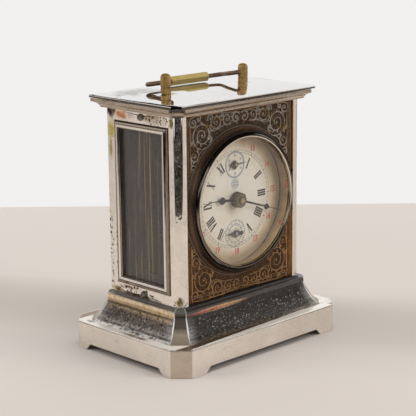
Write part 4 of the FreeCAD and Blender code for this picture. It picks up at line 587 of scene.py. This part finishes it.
def dress_case():
    dress(nickel("plinth nickel", 0.16, 0.3, 0.15, 3.1, stains=PLINTH_STAINS, corner=PLINTH_CORNER,
                 top=PLINTH_TOP), "plinth")
    dress(cove_nickel(), "base_moulding")
    dress(nickel("cornice nickel", 0.8, 0.3, 0.2, 2.2, (0.62, 0.53, 0.44)), "cornice")
    dress(side_panel_nickel("left side nickel", -1, 1.7), "side_panel_left")
    dress(side_panel_nickel("right side nickel", 1, 8.4), "side_panel_right")
    dress(window_nickel(), "window_frame_left window_frame_right")
    dress(polished_plate(), "top_plate")
    dress(bezel_nickel(), "bezel")
    dress(bronze_panel(), "front_mask")
    dress(dial_wall(), "dial_surround")
    dress(dial_card(), "dial")
    dress(clear_glass("dial glass", 0.02, (0.6, 0.56, 0.5), (0.5, 0.45, 0.38)), "dial_glass")
    # Painted shade with dirt: the side glass's thick near-black film stands in for the dark inside of the
    # case.
    dress(clear_glass("side glass", 0.55, (0.016, 0.010, 0.006), (0.036, 0.023, 0.013), 2.2), "side_glasses")
    dress(brass("post brass", (0.66, 0.41, 0.14), (0.11, 0.058, 0.026), 0.3, 2.6, 0.8, 1.0, metallic=0.7),
          "handle_post_left handle_post_right")
    dress(brass("grip brass", (0.60, 0.46, 0.17), (0.34, 0.25, 0.09), 0.3, 4, 0.6, 3.0, metallic=0.3),
          "bail_grip")
    dress(brass("wire copper", (0.36, 0.22, 0.13), (0.07, 0.042, 0.03), 0.25, 2.2, 0.8, 5.0, metallic=0.7),
          "bail")
    dress(brass("door brass", (0.66, 0.50, 0.26), (0.34, 0.22, 0.11), 0.24, 18, 0.55, 7.0, (1, 1, 0.05)),
          "rear_door back_frame")
    dress(steel("screw steel", (0.32, 0.29, 0.25), 0.3, 1.0), "case_screws hex_nuts bell_stud hinge_pin")


def dress_movement():
    plates = brass("movement brass", (0.78, 0.60, 0.28), (0.50, 0.34, 0.15), 0.22, 9, 0.5, 9.0, (1, 1, 0.05))
    dress(plates, "front_plate rear_plate time_great_wheel alarm_great_wheel centre_wheel third_wheel "
                  "fourth_wheel escape_wheel minute_wheel hour_wheel alarm_wheel alarm_escape_wheel "
                  "balance_wheel")
    dress(steel("arbor steel", (0.52, 0.50, 0.47), 0.25, 4.0),
          "pillars time_winding_arbor alarm_winding_arbor centre_arbor alarm_arbor pallet_lever "
          "alarm_hammer")
    dress(steel("blued steel", (0.16, 0.19, 0.30), 0.2, 5.0), "time_mainspring alarm_mainspring hairspring")
    dress(steel("bell metal", (0.66, 0.64, 0.58), 0.15, 6.0), "bell")
    dress(steel("zinc", (0.42, 0.41, 0.38), 0.4, 7.0), "seat_plate")
    dress(brass("key brass", (0.70, 0.53, 0.24), (0.34, 0.22, 0.1), 0.22, 4, 0.6, 2.5),
          "time_key alarm_key set_knob alarm_knob door_knob regulator_lever alarm_stop_lever")


def dress_hands():
    dress(blackened("black steel"), "minute_hand hour_hand")
    dress(steel("small hand steel", (0.12, 0.115, 0.11), 0.35, 3.0), "alarm_hand seconds_hand")


# ===== Mesh helpers =====


def link(made):
    """Put an object in the scene."""
    bpy.context.scene.collection.objects.link(made)


def mesh_object(name, points, faces, material):
    mesh = bpy.data.meshes.new(name)
    mesh.from_pydata(points, [], faces)
    mesh.materials.append(material)
    made = bpy.data.objects.new(name, mesh)
    link(made)
    return made


def piece(name, points, faces, material, smooth=False):
    """A new piece of the object; all of them ride on the case."""
    made = mesh_object(name, points, faces, material)
    for face in made.data.polygons:
        face.use_smooth = smooth
    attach(made, "case")


class Slabs:
    """Collects thin flat shapes that lie on the dial, to become one mesh."""

    def __init__(self, face):
        self.face = face
        self.points = []
        self.faces = []

    def add(self, outline):
        """outline: (x, z) points going round once, convex or gently curved."""
        start, count = len(self.points), len(outline)
        for depth in (self.face - PRINT_THICK, self.face):
            self.points += [(x, depth, z) for x, z in outline]
        self.faces.append(tuple(range(start, start + count)))
        self.faces.append(tuple(range(start + 2 * count - 1, start + count - 1, -1)))
        for k in range(count):
            after = (k + 1) % count
            self.faces.append((start + k, start + count + k, start + count + after, start + after))

    def ring(self, centre, radius, width, steps=96):
        """A band as a chain of short quads."""
        inner, outer = radius - width / 2, radius + width / 2
        for k in range(steps):
            a, b = tau * k / steps, tau * (k + 1) / steps
            corners = [(inner, a), (outer, a), (outer, b), (inner, b)]
            self.add([(centre.x + r * sin(t), centre.z + r * cos(t)) for r, t in corners])

    def spoke(self, centre, angle, inner, outer, width):
        """A radial tick at `angle` clockwise from the top."""
        along = Vector((sin(angle), cos(angle)))
        across = Vector((along.y, -along.x)) * width / 2
        hub = Vector((centre.x, centre.z))
        corners = ((inner, -1), (outer, -1), (outer, 1), (inner, 1))
        self.add([tuple(hub + along * r + across * s) for r, s in corners])

    def disc(self, centre, radius, steps=24):
        self.add([(centre.x + radius * cos(tau * k / steps),
                   centre.z + radius * sin(tau * k / steps)) for k in range(steps)])

    def build(self, name, material):
        piece(name, self.points, self.faces, material)


# ===== The dial's printing =====

PRINT_FACE = DIAL_FACE - 0.015 * MM
PRINT_THICK = 0.03 * MM
ROMAN = {1: "I", 2: "II", 3: "III", 4: "IIII", 5: "V", 7: "VII", 8: "VIII", 9: "IX", 10: "X", 11: "XI"}
GLYPH_WIDTH = {"I": 1.42, "V": 3.2, "X": 3.2}
ROMAN_LEAN, RED_LEAN = 0.003, 0.006     # how far, in turns, the printing is twisted on the dial
FONT_TO_FIGURE = 1.38                   # the font's size over the height of its figures
FIGURE_WIDTH = 0.82
SMALL_DIAL_REACH = 8.4 * MM


def stroke(x0, z0, x1, z1, width):
    """A straight pen stroke whose ends are level."""
    return [(x0 - width / 2, z0), (x0 + width / 2, z0), (x1 + width / 2, z1), (x1 - width / 2, z1)]


def glyph(letter, height):
    """Strokes of one Roman figure, standing on zero, centred across."""
    half = height / 2
    serif = 0.26
    if letter == "I":
        return [stroke(0, -half, 0, half, 1.04),
                [(-0.66, -half), (0.66, -half), (0.66, serif - half), (-0.66, serif - half)],
                [(-0.66, half - serif), (0.66, half - serif), (0.66, half), (-0.66, half)]]
    spread = 1.02
    if letter == "V":
        shapes = [stroke(-spread, half, -0.02, -half, 1.08), stroke(spread, half, 0.12, -half, 0.34)]
        ends = [(-spread, half - serif, 0.75), (spread, half - serif, 0.6)]
    else:
        shapes = [stroke(-spread, half, spread, -half, 1.08), stroke(spread, half, -spread, -half, 0.34)]
        ends = [(-spread, half - serif, 0.75), (spread, half - serif, 0.6),
                (spread, -half, 0.75), (-spread, -half, 0.6)]
    return shapes + [[(x - w, z), (x + w, z), (x + w, z + serif), (x - w, z + serif)] for x, z, w in ends]


def in_small_dial(x, z):
    """Whether a point of the dial lies in the ring of the seconds dial or of the alarm dial."""
    return any(hypot(x - small.x, z - small.z) < SMALL_DIAL_REACH for small in (SECONDS_DIAL, ALARM_DIAL))


def roman_numerals(slabs, radius, height):
    """The figures, their feet towards the dial's middle; the small dials cover two and clip two."""
    for hour, text in ROMAN.items():
        angle = tau * (hour / 12 - ROMAN_LEAN)
        up = Vector((sin(angle), cos(angle)))
        right = Vector((up.y, -up.x))
        across = -sum(GLYPH_WIDTH[letter] for letter in text) / 2
        for letter in text:
            across += GLYPH_WIDTH[letter] / 2
            for shape in glyph(letter, height):
                flat = [up * (radius + z) + right * (across + x) for x, z in shape]
                points = [(DIAL.x + v.x * MM, DIAL.z + v.y * MM) for v in flat]
                if not any(in_small_dial(*point) for point in points):
                    slabs.add(points)
            across += GLYPH_WIDTH[letter] / 2


def figures(name, entries, height, material, weight=0.012):
    """Upright printed numbers as one mesh: entries are (text, x, z), in metres."""
    points, faces = [], []
    for text, x, z in entries:
        curve = bpy.data.curves.new(name, "FONT")
        curve.body = text
        curve.size = height * FONT_TO_FIGURE
        curve.align_x = "CENTER"
        curve.align_y = "CENTER"
        curve.space_character = 0.92
        curve.extrude = PRINT_THICK / 2
        curve.resolution_u = 3
        curve.offset = height * weight
        maker = bpy.data.objects.new(name, curve)
        link(maker)
        bpy.context.view_layer.update()
        mesh = bpy.data.meshes.new_from_object(maker)
        start = len(points)
        for vertex in mesh.vertices:
            points.append((x + vertex.co.x * FIGURE_WIDTH, PRINT_FACE - PRINT_THICK / 2 - vertex.co.z,
                           z + vertex.co.y))
        faces += [tuple(start + v for v in face.vertices) for face in mesh.polygons]
        bpy.data.objects.remove(maker)
        bpy.data.meshes.remove(mesh)
        bpy.data.curves.remove(curve)
    piece(name, points, faces, material)


def on_circle(centre, radius, turn):
    """A point `turn` of the way round a circle, clockwise from its top."""
    return centre.x + radius * sin(tau * turn), centre.z + radius * cos(tau * turn)


def minute_track(slabs, centre, inner, outer, line, count, every):
    for radius in (inner, outer):
        slabs.ring(centre, radius, line, 120)
    for k in range(count):
        wide = 2.6 if k % every == 0 else 1.0
        slabs.spoke(centre, tau * k / count, inner, outer, line * 1.3 * wide)


def rosette(slabs, centre, radius):
    """A plain round ornament: a ring, a hub and six petals."""
    slabs.ring(centre, radius, radius * 0.14, 40)
    slabs.ring(centre, radius * 0.3, radius * 0.16, 24)
    for k in range(6):
        x, z = on_circle(centre, radius * 0.62, k / 6)
        slabs.disc(Vector((x, 0, z)), radius * 0.2, 12)


def make_dial_printing():
    black = print_ink("black ink", (0.009, 0.008, 0.008), 0.06)
    grey = print_ink("grey ink", (0.11, 0.125, 0.145), 0.35)
    pale = print_ink("pale ink", (0.24, 0.28, 0.33), 0.35)
    red = print_ink("red ink", (0.60, 0.06, 0.045), 0.25)

    romans = Slabs(PRINT_FACE)
    roman_numerals(romans, 22.7, 6.6)
    romans.build("roman_numerals", black)

    track = Slabs(PRINT_FACE + 0.004 * MM)
    minute_track(track, DIAL, 27.7 * MM, 29.3 * MM, 0.16 * MM, 60, 5)
    minute_track(track, ALARM_DIAL, 5.0 * MM, 6.1 * MM, 0.12 * MM, 48, 4)
    for k in range(36):
        x, z = on_circle(ALARM_DIAL, 8.0 * MM, k / 36)
        track.disc(Vector((x, 0, z)), 0.42 * MM, 10)
    track.build("minute_track", grey)

    small = Slabs(PRINT_FACE - 0.006 * MM)
    small.ring(SECONDS_DIAL, 7.7 * MM, 0.75 * MM)
    small.ring(SECONDS_DIAL, 6.9 * MM, 0.12 * MM)
    for k in range(60):
        width = (0.3 if k % 5 == 0 else 0.13) * MM
        small.spoke(SECONDS_DIAL, tau * k / 60, 6.9 * MM, 7.4 * MM, width)
    rosette(small, DIAL + Vector((0, 0, 9.4 * MM)), 2.9 * MM)
    small.build("seconds_track", pale)

    hours = [(str(12 + k), *on_circle(DIAL, 32.2 * MM, k / 12 - RED_LEAN)) for k in range(1, 12)]
    figures("afternoon_figures", hours, 3.9 * MM, red, 0.035)
    tens = [(str(10 * k or 60), *on_circle(SECONDS_DIAL, 5.4 * MM, k / 6)) for k in range(6)]
    figures("seconds_figures", tens, 1.5 * MM, grey)
    alarm_hours = [(str(k), *on_circle(ALARM_DIAL, 7.2 * MM, k / 12)) for k in range(1, 13)]
    figures("alarm_figures", alarm_hours, 1.25 * MM, grey)


# ===== The front panel's embossing =====


class Relief:
    """Collects raised lines, leaves and beads on the front panel."""

    SECTION = 5
    FOOT = PANEL_FACE + 0.05 * MM

    def __init__(self):
        self.points = []
        self.faces = []

    def line(self, path, widths, height=0.42 * MM):
        """A rounded ridge along (x, z) points; its width may change from point to point."""
        start, count = len(self.points), len(path)
        for k, (x, z) in enumerate(path):
            before, after = path[max(k - 1, 0)], path[min(k + 1, count - 1)]
            along = Vector((after[0] - before[0], after[1] - before[1])).normalized()
            across = Vector((along.y, -along.x))
            width = widths[k] if isinstance(widths, list) else widths
            for j in range(self.SECTION):
                turn = pi * j / (self.SECTION - 1)
                side = cos(turn) * width / 2
                rise = sin(turn) * height * min(1.0, width / (0.5 * MM))
                self.points.append((x + across.x * side, self.FOOT - rise, z + across.y * side))
        for k in range(count - 1):
            for j in range(self.SECTION - 1):
                a = start + k * self.SECTION + j
                self.faces.append((a, a + 1, a + self.SECTION + 1, a + self.SECTION))

    def bead(self, x, z, radius, rings=3, steps=8):
        """A low dome."""
        start = len(self.points)
        for j in range(rings):
            level = pi / 2 * j / rings
            for k in range(steps):
                turn = tau * k / steps
                reach = radius * cos(level)
                self.points.append((x + reach * cos(turn), self.FOOT - radius * 0.8 * sin(level),
                                    z + reach * sin(turn)))
        self.points.append((x, self.FOOT - radius * 0.8, z))
        top = len(self.points) - 1
        for j in range(rings):
            for k in range(steps):
                a, b = start + j * steps + k, start + j * steps + (k + 1) % steps
                self.faces.append((a, b, b + steps, a + steps) if j < rings - 1 else (a, b, top))

    def build(self, name, material):
        piece(name, self.points, self.faces, material, smooth=True)


def clear_of_ring(x, z, margin=0.0):
    """Whether a point of the panel lies outside its pressed ring."""
    return hypot(x, z - RING_MIDDLE.z) > RING_RADIUS + 1.3 * MM + margin


def volute(relief, x, z, radius, turns, start, hand_side, width=0.75 * MM):
    """A scroll that winds inwards, ends in a bead and carries small leaves on its outer turn."""
    def spiral(share):
        angle = start + hand_side * turns * tau * share
        reach = radius * (1 - share) ** 0.85 + 0.35 * MM
        return angle, (x + reach * cos(angle), z + reach * sin(angle))

    steps = max(14, int(26 * turns))
    path, widths = [], []
    for k in range(steps + 1):
        share = k / steps
        path.append(spiral(share)[1])
        widths.append(width * (0.55 + 0.45 * sin(pi * min(1.0, share * 1.2 + 0.1))))
    relief.line(path, widths)
    relief.bead(x, z, 0.62 * MM)
    for k in range(int(5 + radius / MM)):
        angle, place = spiral((k + 0.5) / (5 + radius / MM) * 0.62)
        root = Vector(place)
        lean = angle - hand_side * 0.7
        tip = root + Vector((cos(lean), sin(lean))) * (0.22 * radius + 0.5 * MM)
        if clear_of_ring(tip.x, tip.y) and abs(tip.x) < 39.6 * MM:
            bend = root.lerp(tip, 0.5) + Vector((-(tip - root).y, (tip - root).x)) * 0.18 * hand_side
            relief.line([tuple(root), tuple(bend), tuple(tip)], [0.7 * MM, 0.8 * MM, 0.12 * MM], 0.32 * MM)


def stem(relief, points, width=0.6 * MM):
    """A smooth stem through control points."""
    path = []
    for k in range(len(points) - 1):
        p0, p1 = points[max(k - 1, 0)], points[k]
        p2, p3 = points[k + 1], points[min(k + 2, len(points) - 1)]
        for step in range(8):
            t = step / 8
            path.append(tuple(
                0.5 * ((2 * b) + (c - a) * t + (2 * a - 5 * b + 4 * c - d) * t * t
                       + (3 * b - a - 3 * c + d) * t ** 3) for a, b, c, d in zip(p0, p1, p2, p3)))
    path.append(points[-1])
    path = [p for p in path if clear_of_ring(*p)]
    if len(path) > 2:
        relief.line(path, width, 0.36 * MM)


# One quarter of the panel's pattern, in mm across and up from the dial's middle.  A scroll is (across, up,
# radius, turns, start in turns, hand); a stem is the points that it passes through.
SCROLLS = [(31.0, 42.5, 8.2, 2.3, 0.55, 1), (19.5, 49.2, 4.3, 1.7, 0.1, -1), (37.2, 31.0, 3.4, 1.5, 0.3, 1),
           (11.0, 49.8, 3.2, 1.5, 0.6, 1), (38.0, 50.5, 2.9, 1.4, 0.2, -1), (24.2, 51.9, 2.0, 1.2, 0.9, 1),
           (3.6, 49.6, 3.0, 1.4, 0.4, -1), (38.6, 24.0, 2.2, 1.2, 0.5, -1), (25.4, 40.0, 1.7, 1.1, 0.8, -1),
           (33.8, 52.6, 1.5, 1.0, 0.3, 1), (39.0, 38.0, 1.6, 1.0, 0.7, -1), (15.4, 52.6, 1.4, 1.0, 0.2, 1)]
STEMS = [[(3.0, 52.8), (9.0, 53.2), (17.0, 54.0), (25.0, 54.2), (33.0, 54.4), (39.6, 53.4)],
         [(40.2, 20.0), (39.6, 27.5), (40.4, 34.0), (40.0, 42.0), (40.3, 49.0)],
         [(7.0, 46.6), (14.0, 46.2), (21.5, 44.0), (25.0, 46.6), (23.4, 49.6)],
         [(27.0, 36.4), (33.0, 32.4), (36.0, 27.0), (37.4, 21.6)]]
BORDER_REACH = 40.35 * MM       # half the length of the level border lines
BEAD_COLUMN = 42.1 * MM
BEAD_RADIUS, BEAD_STEP = 0.55 * MM, 1.35 * MM


def make_embossing():
    ornament, filler, edges, beads = Relief(), Relief(), Relief(), Relief()
    top, bottom = PANEL_HIGH.z, PANEL_LOW.z
    for mirror in (-1, 1):
        for flip in (-1, 1):
            for across, up, radius, turns, start, hand_side in SCROLLS:
                z = RING_MIDDLE.z + flip * up * MM
                side = hand_side * mirror * flip
                begin = tau * (start if mirror > 0 else 0.5 - start)
                volute(ornament, mirror * across * MM, z, radius * MM, turns, begin * flip, side)
            for points in STEMS:
                stem(ornament, [(mirror * x * MM, RING_MIDDLE.z + flip * z * MM) for x, z in points])
    for _ in range(2600):
        x = random.uniform(-39.4, 39.4) * MM
        z = random.uniform(bottom + 5.2 * MM, top - 2.2 * MM)
        turn = random.uniform(0, tau)
        length = random.uniform(0.4, 0.95) * MM
        if clear_of_ring(x, z, 0.6 * MM):
            bow = Vector((cos(turn), sin(turn))) * length
            side = Vector((-bow.y, bow.x)) * 0.4
            filler.line([(x - bow.x, z - bow.y), (x + side.x, z + side.y), (x + bow.x, z + bow.y)],
                        [0.12 * MM, 0.4 * MM, 0.12 * MM], 0.2 * MM)
    for side in (-1, 1):
        for at, width in ((43.6, 0.8), (40.5, 0.5)):
            span = sqrt(max(0.0, (RING_RADIUS + 1.2 * MM) ** 2 - (at * MM) ** 2))
            for low, high in ((bottom, RING_MIDDLE.z - span), (RING_MIDDLE.z + span, top)):
                edges.line([(side * at * MM, low), (side * at * MM, high)], width * MM, 0.4 * MM)
        z = bottom + 1.2 * MM
        while z < top - 1 * MM:
            if clear_of_ring(BEAD_COLUMN, z):
                beads.bead(side * BEAD_COLUMN, z, BEAD_RADIUS)
            z += BEAD_STEP
    for level in (bottom + 1.3 * MM, bottom + 4.4 * MM, top - 1.2 * MM):
        edges.line([(-BORDER_REACH, level), (BORDER_REACH, level)], 0.3 * MM, 0.35 * MM)
    x = -40.0 * MM
    while x < 40.1 * MM:
        beads.bead(x, bottom + 2.9 * MM, BEAD_RADIUS)
        x += BEAD_STEP
    for relief, name, metal, seed, *tints in (
            (ornament, "scroll_relief", "scroll metal", 0.0,
             (0.68, 0.62, 0.54), (0.66, 0.40, 0.19), (0.10, 0.065, 0.04)),
            (filler, "ground_relief", "ground metal", 3.0,
             (0.44, 0.38, 0.30), (0.36, 0.17, 0.06), (0.05, 0.03, 0.02)),
            (edges, "border_lines", "border metal", 6.0,
             (0.60, 0.28, 0.09), (0.75, 0.36, 0.11), (0.22, 0.10, 0.045)),
            (beads, "border_beads", "bead metal", 9.0,
             (0.46, 0.40, 0.32), (0.46, 0.31, 0.18), (0.09, 0.06, 0.04))):
        relief.build(name, relief_metal(metal, seed, *tints))


# ===== Stage, lights and camera =====

VIEW_AZIMUTH = radians(-44.531)
VIEW_HEIGHT = radians(13.07)
VIEW_ROLL = radians(-0.567)
VIEW_DISTANCE = 823.86 * MM
VIEW_TARGET = Vector((1.215, 0, 80.21)) * MM
LENS = 118.11
TABLE_BEHIND = 357 * MM
TABLE_BEFORE = 425 * MM
WALL_REACH = 450 * MM
WALL_HEIGHT = 350 * MM
LIT_AWAY, LIT_BOTTOM, LIT_TOP = 450 * MM, 190 * MM, 420 * MM
TABLE_HALF = 3.0
LAMP_TARGET = Vector((0, 0, 0.08))
NEAR = Vector((sin(VIEW_AZIMUTH), -cos(VIEW_AZIMUTH), 0))     # level, towards the camera
SIDE = Vector((cos(VIEW_AZIMUTH), sin(VIEW_AZIMUTH), 0))      # level, to the camera's right
UP = Vector((0, 0, 1))


def stage_plane(name, corners, material):
    made = mesh_object(name, corners, [tuple(range(len(corners)))], material)
    return made


def lit_wall(name, out, away, low, high, material):
    """An upright plane at `away` from the clock, which it faces; the lamps shine through it."""
    along = Vector((out.y, -out.x, 0)) * WALL_REACH
    left, right = out * away - along, out * away + along
    corners = [left + UP * low, right + UP * low, right + UP * high, left + UP * high]
    stage_plane(name, corners, material).visible_shadow = False


def make_stage():
    """A table, a low lit wall behind it, and lit panels above it on the other three sides."""
    table = Paint("table", Roughness=0.75)
    paper = table.mix(table.noise(250, 3, 0.5), (0.565, 0.513, 0.475), (0.59, 0.538, 0.50))
    behind, aside = (table.plus(table.times(table.x, way.x), table.times(table.y, way.y))
                     for way in (-NEAR, SIDE))
    # Painted shadow: a soft dark stripe across the table behind the clock, nearer to it on the right and
    # deeper on the left; the table is also painted darker towards the back.
    line = table.between(aside, -0.15, 0.15, 85 * MM, 10 * MM)
    gap = table.over(table.minus(behind, line), 60 * MM)
    painted_shadow_band = table.minus(1.0, table.times(gap, gap), clamp=True)
    shade = table.times(painted_shadow_band, table.between(aside, -0.15, 0.15, 0.9, 0.55))
    paper = table.mix(table.between(behind, 60 * MM, TABLE_BEHIND, 0.0, 0.35), paper, (0.44, 0.405, 0.38))
    table.finish(table.mix(shade, paper, (0.46, 0.413, 0.378)))
    back, front, wide = -NEAR * TABLE_BEHIND, NEAR * TABLE_BEFORE, SIDE * TABLE_HALF
    stage_plane("table", [back - wide, front - wide, front + wide, back + wide], table.material)
    wall = Paint("wall")
    glow = wall.node("Emission", {"Color": (0.885, 0.875, 0.87, 1), "Strength": 1.0})
    away = wall.node("NewGeometry", {}).outputs["Backfacing"]
    gone = wall.node("BsdfTransparent", {})
    both = wall.node("MixShader", {0: away, 1: glow.outputs[0], 2: gone.outputs[0]})
    output = next(n for n in wall.tree.nodes if n.type == "OUTPUT_MATERIAL")
    wall.tree.links.new(both.outputs[0], output.inputs["Surface"])
    lit_wall("wall", -NEAR, TABLE_BEHIND, 0, WALL_HEIGHT, wall.material)
    for name, out in (("panel_front", NEAR), ("panel_left", -SIDE), ("panel_right", SIDE)):
        lit_wall(name, out, LIT_AWAY, LIT_BOTTOM, LIT_TOP, wall.material)


def area_light(name, place, width, height, power, colour=(1, 1, 1)):
    """A soft lamp aimed at the middle of the clock; the polished faces do not mirror it."""
    data = bpy.data.lights.new(name, "AREA")
    data.shape = "RECTANGLE"
    data.size, data.size_y = width, height
    data.energy = power
    data.color = colour
    lamp = bpy.data.objects.new(name, data)
    lamp.location = place
    lamp.rotation_mode = "QUATERNION"
    lamp.rotation_quaternion = (LAMP_TARGET - place).to_track_quat("-Z", "Y")
    lamp.visible_glossy = False
    link(lamp)


def make_lights():
    area_light("key", NEAR * 0.3 + SIDE * 0.3 + UP * 2.2, 2.0, 1.6, 37.0, (1, 0.985, 0.96))
    area_light("fill left", NEAR * 0.1 - SIDE * 1.4 + UP * 0.8, 0.8, 0.8, 11.0, (0.98, 0.99, 1))
    area_light("fill right", NEAR * 0.5 + SIDE * 1.4 + UP * 0.8, 0.8, 0.8, 11.0)
    world = bpy.data.worlds.new("studio")
    bpy.context.scene.world = world
    world.use_nodes = True
    tree = world.node_tree
    background = tree.nodes["Background"]
    path = tree.nodes.new("ShaderNodeLightPath")
    shade = tree.nodes.new("ShaderNodeMixRGB")
    shade.inputs["Color1"].default_value = (0.012, 0.010, 0.009, 1)
    shade.inputs["Color2"].default_value = (0.8, 0.79, 0.78, 1)
    tree.links.new(path.outputs["Is Camera Ray"], shade.inputs["Fac"])
    tree.links.new(shade.outputs[0], background.inputs["Color"])


def make_camera():
    level, rise = cos(VIEW_HEIGHT), sin(VIEW_HEIGHT)
    back = NEAR * level + UP * rise
    right = UP.cross(back).normalized()
    over = back.cross(right)
    turned_right = right * cos(VIEW_ROLL) + over * sin(VIEW_ROLL)
    turned_over = over * cos(VIEW_ROLL) - right * sin(VIEW_ROLL)
    data = bpy.data.cameras.new("camera")
    data.lens = LENS
    data.sensor_width = 36
    camera = bpy.data.objects.new("camera", data)
    place = Matrix((turned_right, turned_over, back)).transposed().to_4x4()
    place.translation = VIEW_TARGET + back * VIEW_DISTANCE
    camera.matrix_world = place
    link(camera)
    bpy.context.scene.camera = camera


bpy.context.scene.view_settings.view_transform = "Standard"
make_camera()
dress_case()
dress_movement()
dress_hands()
make_dial_printing()
make_embossing()
make_stage()
make_lights()
